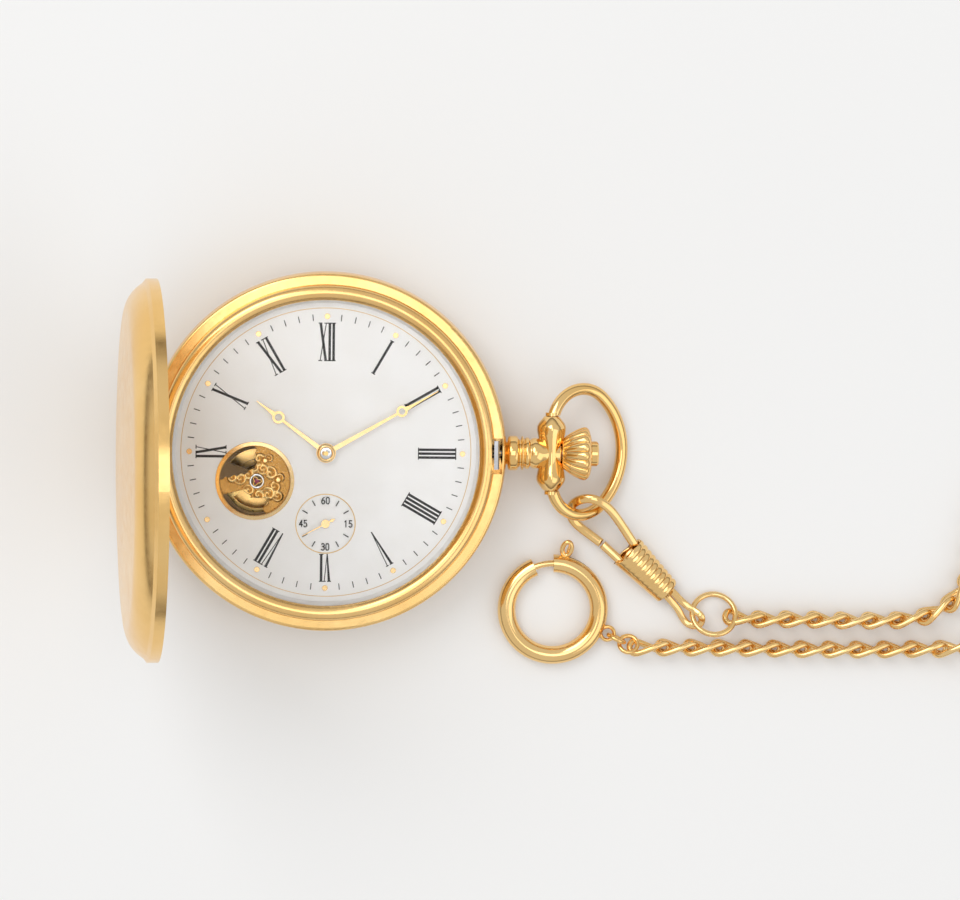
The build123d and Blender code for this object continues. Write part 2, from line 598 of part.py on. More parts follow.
with BuildPart() as mainspring_barrel:
    gear(BARREL, 5.35, 5.6, 80, BARREL_MODULE, BARREL_ANGLE + 180, gap=True)
    disc(BARREL, 6.6, 4.3, 5.6)
    disc(BARREL, 6.2, 4.55, 5.35, mode=Mode.SUBTRACT)
    disc(BARREL, 0.8, 4.3, 5.6, mode=Mode.SUBTRACT)
save(mainspring_barrel.part, "mainspring_barrel")

with BuildPart() as barrel_arbor:
    turned([(0, 2.2), (0.75, 2.2), (0.75, 4.6), (1.6, 4.6), (1.6, 5.3), (0.75, 5.3), (0.75, 5.85),
            (0, 5.85)], BARREL)
save(barrel_arbor.part, "barrel_arbor")

with BuildPart() as mainspring:
    with BuildSketch(Plane.XY.offset(4.6)):
        with Locations(BARREL):
            for k in range(5):
                Circle(6.0 - 0.35 * k)
                Circle(5.85 - 0.35 * k, mode=Mode.SUBTRACT)
        with Locations(polar(BARREL, 5.22, 90)):
            Rectangle(0.15, 1.45)
    extrude(amount=0.7)
save(mainspring.part, "mainspring")

with BuildPart() as ratchet_wheel:
    gear(BARREL, 2.4, 2.75, RATCHET_TEETH, RATCHET_MODULE, RATCHET_ANGLE)
    disc(BARREL, 0.75, 2.4, 2.75, mode=Mode.SUBTRACT)
save(ratchet_wheel.part, "ratchet_wheel")

with BuildPart() as crown_wheel:
    gear(CROWN_WHEEL, 2.4, 2.75, CROWN_WHEEL_TEETH, RATCHET_MODULE, RATCHET_ANGLE + 180, gap=True)
    disc(CROWN_WHEEL, 0.95, 2.4, 4.1)
    disc(CROWN_WHEEL, 3.9, 4.1, 4.4)
    for k in range(FACE_TEETH):
        turn = 360 * k / FACE_TEETH
        with BuildSketch(Plane((*CROWN_WHEEL, 4.4), x_dir=(*polar((0, 0), 1, turn), 0),
                               z_dir=(0, 0, 1))) as tooth:
            with Locations((3.45, 0)):
                Rectangle(0.9, 0.26)
        extrude(tooth.sketch, amount=0.48)
save(crown_wheel.part, "crown_wheel")

CLICK_POST = polar(BARREL, 8.4, 128)
with BuildPart() as click:
    bar(CLICK_POST, polar(BARREL, 7.15, 112), 0.5, 2.4, 2.7)
    disc(CLICK_POST, 0.75, 2.4, 2.7)
    disc(CLICK_POST, 0.3, 2.2, BRIDGE_Z[0])
save(click.part, "click")


def arbor(centre, low, high, pivot, body):
    """Slim arbor with a finer pivot at each end."""
    turned([(0, low), (pivot, low), (pivot, low + 0.9), (body, low + 0.9), (body, high - 1.3),
            (pivot, high - 1.3),
            (pivot, high), (0, high)], centre)


with BuildPart() as centre_wheel:
    gear(CENTRE, 4.0, 4.2, 80, TRAIN_MODULE, direction(CENTRE, THIRD))
    spokes(CENTRE, 1.6, 5.3, 3.9, 4.3, 5, 0.5)
    gear(CENTRE, 4.2, 5.75, 10, BARREL_MODULE, BARREL_ANGLE)
    disc(CENTRE, 0.45, 3.1, 4.1)
    disc(CENTRE, 0.5, 5.7, 7.3)
    disc(CENTRE, 0.3, 7.2, 9.25)
save(centre_wheel.part, "centre_wheel")

with BuildPart() as third_wheel:
    gear(THIRD, 4.75, 4.95, 75, THIRD_MODULE, direction(THIRD, SECONDS))
    spokes(THIRD, 1.2, 4.4, 4.7, 5.0, 5, 0.45)
    gear(THIRD, 3.95, 4.75, 10, TRAIN_MODULE, direction(THIRD, CENTRE), gap=True)
    arbor(THIRD, 3.0, 7.1, 0.1, 0.35)
save(third_wheel.part, "third_wheel")

with BuildPart() as fourth_wheel:
    gear(SECONDS, 5.3, 5.5, 80, FOURTH_MODULE, LINE_ANGLE)
    spokes(SECONDS, 1.0, 3.4, 5.2, 5.6, 5, 0.4)
    gear(SECONDS, 4.65, 5.3, 10, THIRD_MODULE, direction(SECONDS, THIRD), gap=True)
    turned([(0, 3.0), (0.1, 3.0), (0.1, 3.9), (0.3, 3.9), (0.3, 5.8), (0.1, 5.8), (0.1, 8.3), (0, 8.3)],
           SECONDS)
save(fourth_wheel.part, "fourth_wheel")

ESCAPE_R = 2.3
with BuildPart() as escape_wheel:
    tooth = [(1.75, -4), (ESCAPE_R, 6), (ESCAPE_R, 8), (1.75, 4)]
    outline = [polar(ESCAPE, r, 24 * k + a) for k in range(15) for r, a in tooth]
    with BuildSketch(Plane.XY.offset(4.75)):
        with BuildLine():
            Polyline(*outline, close=True)
        make_face()
    extrude(amount=0.2)
    spokes(ESCAPE, 0.7, 1.45, 4.7, 5.0, 4, 0.3)
    gear(ESCAPE, 4.95, 5.6, 8, FOURTH_MODULE, LINE_ANGLE + 180, gap=True)
    arbor(ESCAPE, 3.0, 7.1, 0.1, 0.28)
save(escape_wheel.part, "escape_wheel")

with BuildPart() as pallet_fork:
    bar(PALLET, polar(PALLET, 2.55, LINE_ANGLE), 0.3, 4.75, 4.93)
    for side in (-1, 1):
        bar(polar(PALLET, 2.5, LINE_ANGLE), polar(PALLET, 3.0, LINE_ANGLE + 7 * side), 0.16, 4.75, 4.93)
        reach = polar(ESCAPE, ESCAPE_R + 0.45, LINE_ANGLE + 34 * side)
        bar(PALLET, reach, 0.35, 4.75, 4.93)
    turned([(0, 4.35), (0.1, 4.35), (0.1, 4.65), (0.25, 4.65), (0.25, 5.8), (0.1, 5.8), (0.1, 7.1),
            (0, 7.1)], PALLET)
save(pallet_fork.part, "pallet_fork")

BALANCE_R = 4.55
with BuildPart() as balance_wheel:
    ring(BALANCE, BALANCE_R - 0.45, BALANCE_R, 3.35, 3.8)
    bar(polar(BALANCE, BALANCE_R - 0.3, 35), polar(BALANCE, BALANCE_R - 0.3, 215), 0.55, 3.45, 3.7)
    turned([(0, 2.5), (0.1, 2.5), (0.1, 3.0), (0.3, 3.0), (0.3, 4.2), (0.6, 4.2), (0.6, 4.4), (0.2, 4.4),
            (0.2, 6.3),
            (0.1, 6.3), (0.1, 6.68), (0, 6.68)], BALANCE)
    disc(polar(BALANCE, 0.45, LINE_ANGLE + 180), 0.08, 4.4, 4.68)
save(balance_wheel.part, "balance_wheel")

with BuildPart() as hairspring:
    with BuildSketch(Plane.XY.offset(3.05)):
        with Locations(BALANCE):
            for k in range(6):
                Circle(1.05 + 0.3 * k)
                Circle(1.0 + 0.3 * k, mode=Mode.SUBTRACT)
            Circle(0.55)
            Circle(0.32, mode=Mode.SUBTRACT)
        with Locations(polar(BALANCE, 1.55, 100)):
            Rectangle(0.05, 2.06, rotation=10)
    extrude(amount=0.12)
save(hairspring.part, "hairspring")

MINUTE_WHEEL = polar(CENTRE, 4.8, 50)
with BuildPart() as cannon_pinion:
    gear(CENTRE, 7.35, 7.6, 12, 0.2, 50)
    ring(CENTRE, 0.31, 0.55, 7.3, 8.83)
    ring(CENTRE, 0.31, 0.34, 8.83, 9.05)
    disc(CENTRE, 0.31, 7.2, 9.4, mode=Mode.SUBTRACT)
save(cannon_pinion.part, "cannon_pinion")

with BuildPart() as minute_wheel:
    gear(MINUTE_WHEEL, 7.35, 7.5, 36, 0.2, 230, gap=True)
    gear(MINUTE_WHEEL, 7.5, 7.75, 10, 0.192, 230)
    disc(MINUTE_WHEEL, 0.25, 6.2, 7.5)
save(minute_wheel.part, "minute_wheel")

with BuildPart() as hour_wheel:
    gear(CENTRE, 7.62, 7.74, 40, 0.192, 50, gap=True)
    disc(CENTRE, 0.9, 7.62, 8.42)
    disc(CENTRE, 0.74, 7.7, 8.64)
    disc(CENTRE, 0.6, 7.5, 9.0, mode=Mode.SUBTRACT)
save(hour_wheel.part, "hour_wheel")


def stem_gear(low, high, teeth, module):
    """Small toothed wheel round the winding stem."""
    pitch = 360.0 / teeth
    flank = ((-0.27, teeth / 2 - 1.2), (-0.11, teeth / 2 + 0.3), (0.11, teeth / 2 + 0.3),
             (0.27, teeth / 2 - 1.2))
    points = [polar((0, 0), r * module, (i + k) * pitch) for i in range(teeth) for k, r in flank]
    with BuildSketch(Plane((low, 0, STEM_Z), x_dir=(0, 1, 0), z_dir=(1, 0, 0))) as profile:
        with BuildLine():
            Polyline(*points, close=True)
        make_face()
        Circle(0.6, mode=Mode.SUBTRACT)
    extrude(profile.sketch, amount=high - low)


with BuildPart() as winding_pinion:
    stem_gear(15.9, 17.3, PINION_TEETH, 0.2)
save(winding_pinion.part, "winding_pinion")

with BuildPart() as clutch_wheel:
    stem_gear(13.4, 14.8, 10, 0.14)
save(clutch_wheel.part, "clutch_wheel")

with BuildPart() as setting_lever:
    bar(LEVER_POST, (16.6, 3.2), 1.0, 7.32, 7.55)
    disc(LEVER_POST, 0.3, 6.3, 7.4)
save(setting_lever.part, "setting_lever")

with BuildPart() as yoke:
    bar(YOKE_POST, (14.6, -3.2), 0.9, 7.32, 7.55)
    disc(YOKE_POST, 0.3, 6.3, 7.4)
save(yoke.part, "yoke")

SCREW_PLACES = [(polar(CENTRE, 16.6, angle), BRIDGE_Z[0]) for angle in (18, 152, -25, -115)]
SCREW_PLACES.append((polar(BALANCE, 6.6, 195), 2.35))
with BuildPart() as bridge_screws:
    for place, seat in SCREW_PLACES:
        disc(place, 0.85, seat - 0.35, seat)
    for place, seat in SCREW_PLACES:
        with Locations((*place, seat - 0.35)):
            Box(2, 0.2, 0.24, mode=Mode.SUBTRACT)
save(bridge_screws.part, "bridge_screws")

# ================================================================= clip
CLIP_TURN = -45.0                     # direction from the clip's mouth to its tail
CLIP_START = Vector(41.0, -13.65, 2.5)
CLIP_FALL = 0.115                     # how far the clip's axis drops for each millimetre
ALONG = Vector(cos(radians(CLIP_TURN)), sin(radians(CLIP_TURN)), -CLIP_FALL).normalized()
ACROSS = Vector(-sin(radians(CLIP_TURN)), cos(radians(CLIP_TURN)), 0)
SLEEVE_LENGTH = 7.9
SLEEVE_FRONT_R = 2.4
SLEEVE_REAR_R = 1.55


def clip_point(s, t, z):
    """Point s along the clip, t across it and z above the surface."""
    heading = Vector(ALONG.X, ALONG.Y, 0).normalized()
    flat = Vector(CLIP_START.X, CLIP_START.Y, 0) + s * heading
    return tuple(flat + t * ACROSS + Vector(0, 0, z))


HOOK_ROUTE = [(2.6, 1.0, 2.3), (-0.5, 1.42, 2.9), (-5.6, 2.3, 4.6), (-8.7, 1.9, 5.2),
              (-10.05, -0.9, 3.3), (-7.6, -2.5, 1.6),
              (-3.25, -1.8, 1.45)]
HOOK_WIRE_R = 0.6
HOOK_POINTS = [clip_point(*place) for place in HOOK_ROUTE]
LOOP_POINTS = [clip_point(*place) for place in
               ((7.0, 0.5, 1.75), (10.8, 0.5, 1.75), (12.3, 1.2, 2.65), (14.0, 0.9, 2.0),
                (14.1, -0.7, 1.2), (12.5, -1.2, 0.85),
                (10.6, -0.55, 1.1), (7.0, -0.5, 1.6))]

with BuildPart() as clip_hook:
    tube(HOOK_POINTS, HOOK_WIRE_R)
    rod(clip_point(2.0, 0.9, 2.3), clip_point(3.6, 0, 2.1), 0.6)
    rod(clip_point(3.0, 0.1, 2.15), clip_point(8.2, 0, 1.6), 0.75)
    tube(LOOP_POINTS, 0.4)
save(clip_hook.part, "clip_hook")

RIDGES = 9
with BuildPart() as clip_sleeve:
    outline = [(0.0, 1.95), (0.0, SLEEVE_FRONT_R - 0.15)]
    for k in range(RIDGES):
        place = SLEEVE_LENGTH * (k + 0.5) / RIDGES
        radius = SLEEVE_FRONT_R + (SLEEVE_REAR_R - SLEEVE_FRONT_R) * (place / SLEEVE_LENGTH)
        outline += [(place - 0.3, radius - 0.14), (place - 0.1, radius), (place + 0.1, radius),
                    (place + 0.3, radius - 0.14)]
    outline += [(SLEEVE_LENGTH, SLEEVE_REAR_R - 0.15), (SLEEVE_LENGTH, 1.2)]
    sleeve_plane = Plane(CLIP_START, x_dir=ALONG, z_dir=ALONG.cross(ACROSS))
    with BuildSketch(sleeve_plane):
        with BuildLine():
            Polyline(*outline, close=True)
        make_face()
    revolve(axis=Axis(CLIP_START, ALONG))
    rod(clip_point(-2.95, -1.8, 1.45), clip_point(0.6, -1.6, 1.7), 0.58)
    rod(clip_point(0.0, -1.62, 1.68), clip_point(0.9, -1.85, 1.75), 0.5)
save(clip_sleeve.part, "clip_sleeve")

# ================================================================= chain and bolt ring


def wire_ring(centre, normal, radius, wire_r, mode=Mode.ADD):
    """Closed ring of round wire."""
    with Locations(Plane(centre, z_dir=normal).location):
        Torus(radius, wire_r, mode=mode)


with BuildPart() as jump_ring:
    wire_ring((52.95, -22.25, 1.9), (0, sin(radians(30)), cos(radians(30))), 2.95, 0.38)
save(jump_ring.part, "jump_ring")

NEAR_ROUTE = [(56.25, -23.1, CHAIN_Z), (65.0, -22.9, CHAIN_Z), (75.0, -23.1, CHAIN_Z),
              (82.5, -22.5, CHAIN_Z),
              (87.0, -19.2, CHAIN_Z), (89.0, COIL_CENTRE[1], CHAIN_Z)]
FAR_ROUTE = [(105.0, -26.1, 3.9), (98.5, -26.3, 4.6), (91.0, -26.0, 4.6), (86.3, -26.7, 2.4),
             (81.5, -26.9, CHAIN_Z),
             (70.0, -27.1, CHAIN_Z), (56.0, -26.9, CHAIN_Z), (43.0, -27.05, CHAIN_Z)]


def chain_run(points, name):
    """Plain tube of the chain's outer size along one stretch."""
    with BuildPart() as run:
        length = tube(points, CHAIN_D / 2)
    save(run.part, name)
    print(name, "radii", [round(r, 1) for r in route_radii(points)], "length", round(length, 2))
    print(name, "volume over section x length",
          round(run.part.volume / (pi * (CHAIN_D / 2) ** 2 * length), 4))


chain_run(NEAR_ROUTE, "chain_near")
chain_run(FAR_ROUTE, "chain_far")

with BuildPart() as chain_coil:
    outer = COIL_R + CHAIN_D / 2
    inner = COIL_R - COIL_PITCH * COIL_TURNS - CHAIN_D / 2
    ring(COIL_CENTRE, inner, outer, 0.01, 0.01 + CHAIN_D)
save(chain_coil.part, "chain_coil")

RING_CENTRE = (31.0, -21.8)
RING_Z = 1.26
RING_R = 6.3
RING_TUBE_R = 1.22
GATE_R = 0.42
EYE_AT = -23.5
GAP = (90.0, 114.0)                   # the mouth of the bolt ring


def ring_arc(first, last, wire_r, height=RING_Z, centre_r=RING_R):
    """Round wire bent along the bolt ring between two angles."""
    with BuildLine() as arc:
        CenterArc((*RING_CENTRE, height), centre_r, first, last - first)
    with BuildSketch(Plane(arc.line @ 0, z_dir=arc.line % 0)) as profile:
        Circle(wire_r)
    sweep(profile.sketch, path=arc.line)


with BuildPart() as bolt_ring:
    ring_arc(GAP[1], 360 + GAP[0], RING_TUBE_R)
    with BuildLine() as bore:
        CenterArc((*RING_CENTRE, RING_Z), RING_R, 30, GAP[0] - 30)
    with BuildSketch(Plane(bore.line @ 0, z_dir=bore.line % 0)):
        Circle(GATE_R + 0.08)
    sweep(path=bore.line, mode=Mode.SUBTRACT)
    with BuildSketch(Plane.XY.offset(RING_Z - 0.35)):
        with BuildLine():
            CenterArc(RING_CENTRE, RING_R + 0.8, 42, 37)
        trace(line_width=1.7)
    extrude(amount=0.7, mode=Mode.SUBTRACT)
    with BuildLine() as socket:
        CenterArc((*RING_CENTRE, RING_Z), RING_R, GAP[1] - 1, 8)
    with BuildSketch(Plane(socket.line @ 0, z_dir=socket.line % 0)):
        Circle(GATE_R + 0.08)
    sweep(path=socket.line, mode=Mode.SUBTRACT)
    eye = (*polar(RING_CENTRE, 8.2, EYE_AT), RING_Z)
    wire_ring(eye, (0, 0, 1), 0.92, 0.25)
save(bolt_ring.part, "bolt_ring")

TRIGGER_AT = 75.7
with BuildPart() as bolt_ring_gate:
    ring_arc(60, GAP[1] + 4, GATE_R)
    lug_base = (*polar(RING_CENTRE, RING_R, TRIGGER_AT), RING_Z)
    lug_top = (*polar(RING_CENTRE, 8.6, TRIGGER_AT), RING_Z)
    rod(lug_base, lug_top, 0.28)
    wire_ring(lug_top, polar((0, 0), 1, TRIGGER_AT + 90) + (0,), 0.4, 0.2)
save(bolt_ring_gate.part, "bolt_ring_gate")

LINK_A = (39.72, -25.72, 1.52)
LINK_B = (41.4, -26.5, 1.45)
with BuildPart() as end_links:
    link_line = direction(LINK_A, LINK_B)
    wire_ring(LINK_A, polar((0, 0), 1, link_line + 90) + (0,), 1.18, 0.3)
    wire_ring(LINK_B, (0.0, sin(radians(35)), cos(radians(35))), 1.25, 0.3)
save(end_links.part, "end_links")
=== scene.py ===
import json
from math import atan2, cos, pi, radians, sin, sqrt

import bpy
from mathutils import Matrix, Vector


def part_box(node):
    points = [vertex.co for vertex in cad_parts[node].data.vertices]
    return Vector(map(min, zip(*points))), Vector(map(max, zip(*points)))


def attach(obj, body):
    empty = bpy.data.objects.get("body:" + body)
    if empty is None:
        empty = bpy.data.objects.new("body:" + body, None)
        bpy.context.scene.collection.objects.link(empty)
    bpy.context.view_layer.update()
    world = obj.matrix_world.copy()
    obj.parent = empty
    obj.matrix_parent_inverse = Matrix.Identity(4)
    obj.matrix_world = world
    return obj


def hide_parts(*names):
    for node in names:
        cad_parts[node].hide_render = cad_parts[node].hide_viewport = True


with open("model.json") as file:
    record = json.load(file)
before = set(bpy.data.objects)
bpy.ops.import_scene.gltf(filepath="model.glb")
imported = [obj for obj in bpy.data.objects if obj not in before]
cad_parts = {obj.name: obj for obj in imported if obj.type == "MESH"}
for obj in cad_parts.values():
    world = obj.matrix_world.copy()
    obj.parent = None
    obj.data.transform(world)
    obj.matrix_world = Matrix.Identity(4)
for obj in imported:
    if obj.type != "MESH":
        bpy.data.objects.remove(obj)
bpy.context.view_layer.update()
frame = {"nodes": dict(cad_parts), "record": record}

MM = 0.001
scene = bpy.context.scene
collection = scene.collection


def mm(*values):
    """A point given in millimetres, as a vector in metres."""
    return Vector(values) * MM


# ---------------------------------------------------------------- camera
VIEW_FROM = mm(0.0, 43.0, 441.0)
VIEW_TO = mm(20.85, -0.25, 0.0)
VIEW_ROLL = radians(0.8)
LENS = 122.6
SENSOR = 36.0

camera_data = bpy.data.cameras.new("camera")
camera_data.lens = LENS
camera_data.sensor_width = SENSOR
camera_data.clip_start = 0.02
camera = bpy.data.objects.new("camera", camera_data)
collection.objects.link(camera)
backward = (VIEW_FROM - VIEW_TO).normalized()
upward = Vector((-sin(VIEW_ROLL), cos(VIEW_ROLL), 0.0))
sideways = upward.cross(backward).normalized()
upward = backward.cross(sideways)
camera.matrix_world = Matrix.Translation(VIEW_FROM) @ Matrix((sideways, upward,
                                                              backward)).transposed().to_4x4()
scene.camera = camera


# ---------------------------------------------------------------- material helpers
def new_material(name):
    """An empty node material and its main shader."""
    material = bpy.data.materials.new(name)
    material.use_nodes = True
    shader = material.node_tree.nodes["Principled BSDF"]
    return material, shader


def add_node(material, kind, **settings):
    """A node with its settings and unlinked inputs filled in."""
    node = material.node_tree.nodes.new(kind)
    for key, value in settings.items():
        if hasattr(node, key):
            setattr(node, key, value)
        else:
            node.inputs[key.replace("_", " ")].default_value = value
    return node


def join(material, source, target):
    material.node_tree.links.new(source, target)


def noise_on(material, scale, detail=4.0, stretch=(1.0, 1.0, 1.0)):
    """Noise texture in object space, stretched along the axes."""
    place = add_node(material, "ShaderNodeTexCoord")
    mapping = add_node(material, "ShaderNodeMapping")
    mapping.inputs["Scale"].default_value = stretch
    noise = add_node(material, "ShaderNodeTexNoise", Scale=scale, Detail=detail)
    join(material, place.outputs["Object"], mapping.inputs["Vector"])
    join(material, mapping.outputs["Vector"], noise.inputs["Vector"])
    return noise


def ramp_between(material, source, low, high, start=0.3, end=0.7):
    """Colour ramp from one value or colour to another."""
    ramp = add_node(material, "ShaderNodeValToRGB")
    ramp.color_ramp.elements[0].position = start
    ramp.color_ramp.elements[1].position = end
    for element, value in zip(ramp.color_ramp.elements, (low, high)):
        element.color = (*value, 1) if isinstance(value, tuple) else (value, value, value, 1)
    join(material, source, ramp.inputs["Fac"])
    return ramp


GRAIN_DEPTH = 0.02 * MM


def metal(name, low, high, rough, scale=900.0, bump=0.02, grain=6000.0, stretch=(1, 1, 1)):
    """Metal with slow colour drift, uneven polish and a fine surface grain."""
    material, shader = new_material(name)
    shader.inputs["Metallic"].default_value = 1.0
    drift = noise_on(material, scale * 0.12, 3.0)
    join(material, ramp_between(material, drift.outputs["Fac"], low, high).outputs["Color"],
         shader.inputs["Base Color"])
    polish = noise_on(material, scale, 5.0, stretch)
    join(material, ramp_between(material, polish.outputs["Fac"], rough[0], rough[1]).outputs["Color"],
         shader.inputs["Roughness"])
    fine = noise_on(material, grain, 2.0, stretch)
    height = add_node(material, "ShaderNodeBump", Strength=bump, Distance=GRAIN_DEPTH)
    join(material, fine.outputs["Fac"], height.inputs["Height"])
    join(material, height.outputs["Normal"], shader.inputs["Normal"])
    return material


GOLD_LOW = (0.89, 0.55, 0.19)
GOLD_HIGH = (0.95, 0.64, 0.27)
gold = metal("polished_gold_plate", GOLD_LOW, GOLD_HIGH, (0.06, 0.13))
satin_gold = metal("satin_gold_plate", GOLD_LOW, GOLD_HIGH, (0.16, 0.26), bump=0.05)
chain_gold = metal("chain_gold_plate", (0.88, 0.56, 0.21), (0.95, 0.66, 0.3), (0.08, 0.17))
hand_gold = metal("hand_gold", (0.79, 0.54, 0.25), (0.85, 0.61, 0.32), (0.16, 0.26))
bezel_gold = metal("bezel_gold_plate", (0.88, 0.54, 0.19), (0.94, 0.63, 0.27), (0.19, 0.27))
gilt = metal("gilt_brass", (0.78, 0.52, 0.18), (0.86, 0.62, 0.26), (0.22, 0.36), bump=0.15)
steel = metal("brushed_steel", (0.36, 0.36, 0.37), (0.5, 0.5, 0.51), (0.2, 0.34), bump=0.1,
              stretch=(1, 12, 1))
bright_steel = metal("polished_steel", (0.7, 0.7, 0.7), (0.8, 0.8, 0.79), (0.08, 0.16))
catch_steel = metal("catch_steel", (0.3, 0.3, 0.31), (0.42, 0.42, 0.43), (0.12, 0.2))
blue_steel = metal("spring_steel", (0.16, 0.2, 0.32), (0.24, 0.28, 0.4), (0.2, 0.3))


def coloured(name, low, high, rough, scale=2000.0, bump=0.03, **sockets):
    """Non-metal with a slight mottle and grain."""
    material, shader = new_material(name)
    drift = noise_on(material, scale * 0.1, 4.0)
    join(material, ramp_between(material, drift.outputs["Fac"], low, high).outputs["Color"],
         shader.inputs["Base Color"])
    shader.inputs["Roughness"].default_value = rough
    for key, value in sockets.items():
        shader.inputs[key.replace("_", " ")].default_value = value
    fine = noise_on(material, scale, 3.0)
    height = add_node(material, "ShaderNodeBump", Strength=bump, Distance=GRAIN_DEPTH)
    join(material, fine.outputs["Fac"], height.inputs["Height"])
    join(material, height.outputs["Normal"], shader.inputs["Normal"])
    return material


dial_white = coloured("pearl_lacquer", (0.9, 0.895, 0.88), (0.94, 0.94, 0.935), 0.32, Coat_Weight=0.4,
                      Coat_Roughness=0.08)
rehaut_white = coloured("rehaut_white", (0.86, 0.85, 0.83), (0.92, 0.91, 0.9), 0.45)
ink = coloured("black_print", (0.015, 0.015, 0.016), (0.03, 0.03, 0.03), 0.4)
gold_ink = coloured("gold_print", (0.62, 0.43, 0.2), (0.7, 0.5, 0.25), 0.35, Metallic=0.6)
ruby = coloured("synthetic_ruby", (0.25, 0.01, 0.05), (0.4, 0.02, 0.09), 0.08, Coat_Weight=1.0)
rubber = coloured("gasket_rubber", (0.02, 0.02, 0.02), (0.04, 0.04, 0.04), 0.6, bump=0.2)

glass, glass_shader = new_material("mineral_glass")
glass_shader.inputs["Base Color"].default_value = (1, 1, 1, 1)
glass_shader.inputs["Transmission Weight"].default_value = 1.0
glass_shader.inputs["Roughness"].default_value = 0.0
glass_shader.inputs["IOR"].default_value = 1.1
smear = noise_on(glass, 300.0, 2.0)
join(glass, ramp_between(glass, smear.outputs["Fac"], 0.0, 0.02, 0.5, 0.9).outputs["Color"],
     glass_shader.inputs["Roughness"])

FINISHES = {
    "gold_case": gold, "gold_trim": hand_gold, "chain_gold": chain_gold, "plate_brass": gilt,
    "steel": steel,
    "polished_steel": bright_steel, "dial_white": dial_white, "hand_gold": hand_gold, "glass": glass,
    "ruby": ruby,
    "gasket": rubber, "spring_steel": blue_steel, "rehaut": rehaut_white,
}
engraved_gold = metal("engraved_gold", (0.88, 0.58, 0.22), (0.95, 0.68, 0.32), (0.2, 0.32), bump=0.06)
# brushed brass darkened far below its own colour: painted shade for the recess seen through the aperture
brass_in_painted_shade = metal("brass_in_painted_shade", (0.06, 0.038, 0.016), (0.24, 0.16, 0.09), (0.3, 0.5), bump=0.3,
                     stretch=(1, 14, 1))
# movement parts seen only down the aperture, which get the darkened brass as painted shade
NODES_IN_PAINTED_SHADE = ("mainplate", "balance_cock", "barrel_bridge", "train_bridge", "pallet_bridge",
                "hairspring")
for part in frame["record"]["subparts"]:
    node = frame["nodes"][part["node"]]
    node.data.materials.clear()
    finish = FINISHES[part["material_slot"]]
    if part["node"] in NODES_IN_PAINTED_SHADE:
        finish = brass_in_painted_shade
    elif part["node"] == "lid_catch":
        finish = catch_steel
    elif part["node"] == "bezel":
        finish = bezel_gold
    elif part["node"] in ("front_cover", "case_middle", "back_cover"):
        finish = satin_gold
    node.data.materials.append(finish)


# ---------------------------------------------------------------- mesh helpers
def mesh_piece(name, points, faces, material, body, smooth=True):
    """A mesh object that rides on a body and carries the given material."""
    mesh = bpy.data.meshes.new(name)
    mesh.from_pydata([tuple(p) for p in points], [], faces)
    mesh.validate()
    mesh.update()
    if smooth:
        mesh.shade_smooth()
    mesh.materials.append(material)
    piece = bpy.data.objects.new(name, mesh)
    collection.objects.link(piece)
    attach(piece, body)
    return piece


def loop_tube(centres, sides, radius, points, faces):
    """Add a closed ring of round wire through the centres to a growing mesh."""
    count = len(centres)
    base = len(points)
    for i, centre in enumerate(centres):
        along = (centres[(i + 1) % count] - centres[i - 1]).normalized()
        first = (along.orthogonal() if i == 0 else first - along * first.dot(along)).normalized()
        second = along.cross(first)
        for k in range(sides):
            turn = 2 * pi * k / sides
            points.append(centre + radius * (cos(turn) * first + sin(turn) * second))
    # the last section may have turned against the first one
    last = points[base + (count - 1) * sides:base + count * sides]
    shift = min(range(sides), key=lambda k: (last[k] - points[base]).length)
    for i in range(count):
        for k in range(sides):
            a = base + i * sides + k
            b = base + i * sides + (k + 1) % sides
            if i < count - 1:
                faces.append((a, b, b + sides, a + sides))
            else:
                c = base + (k + 1 - shift) % sides
                d = base + (k - shift) % sides
                faces.append((a, b, c, d))


# ---------------------------------------------------------------- chain
CHAIN_REST_Z = 1.5
COIL_CENTRE = (107.0, -13.44)
COIL_R = 18.0
COIL_PITCH = 3.05
COIL_TURNS = 1.75
COIL_STEPS = 28
NEAR_ROUTE = [(55.4, -22.65), (58.0, -23.0), (65.0, -22.9), (75.0, -23.1), (82.5, -22.5), (87.0, -19.2)]
FAR_ROUTE = [(98.5, -26.3, 4.6), (91.0, -26.0, 4.6), (86.3, -26.7, 2.4), (81.5, -26.9, CHAIN_REST_Z),
             (70.0, -27.1, CHAIN_REST_Z), (56.0, -26.9, CHAIN_REST_Z), (42.4, -26.95, CHAIN_REST_Z)]


def coil_points():
    """Turns of the put-away coil, from its outer left side inwards."""
    places = []
    for k in range(COIL_STEPS + 1):
        turns = COIL_TURNS * k / COIL_STEPS
        radius = COIL_R - COIL_PITCH * turns
        angle = pi - 2 * pi * turns
        rise = max(0.0, (k - COIL_STEPS + 3) / 3)
        places.append((COIL_CENTRE[0] + radius * cos(angle), COIL_CENTRE[1] + radius * sin(angle),
                       CHAIN_REST_Z + 1.6 * rise))
    return places


route = [mm(x, y, CHAIN_REST_Z) for x, y in NEAR_ROUTE]
route += [mm(*place) for place in coil_points()]
route += [mm(*place) for place in FAR_ROUTE]


def follow(points, name, resolution=12):
    """Points along the NURBS curve that has these control points."""
    curve = bpy.data.curves.new(name, "CURVE")
    curve.dimensions = "3D"
    curve.resolution_u = resolution
    spline = curve.splines.new("NURBS")
    spline.points.add(len(points) - 1)
    for slot_point, place in zip(spline.points, points):
        slot_point.co = (*place, 1.0)
    spline.order_u = 3
    spline.use_endpoint_u = True
    holder = bpy.data.objects.new(name, curve)
    mesh = bpy.data.meshes.new_from_object(holder)
    line = [v.co.copy() for v in mesh.vertices]
    bpy.data.objects.remove(holder)
    bpy.data.meshes.remove(mesh)
    return line


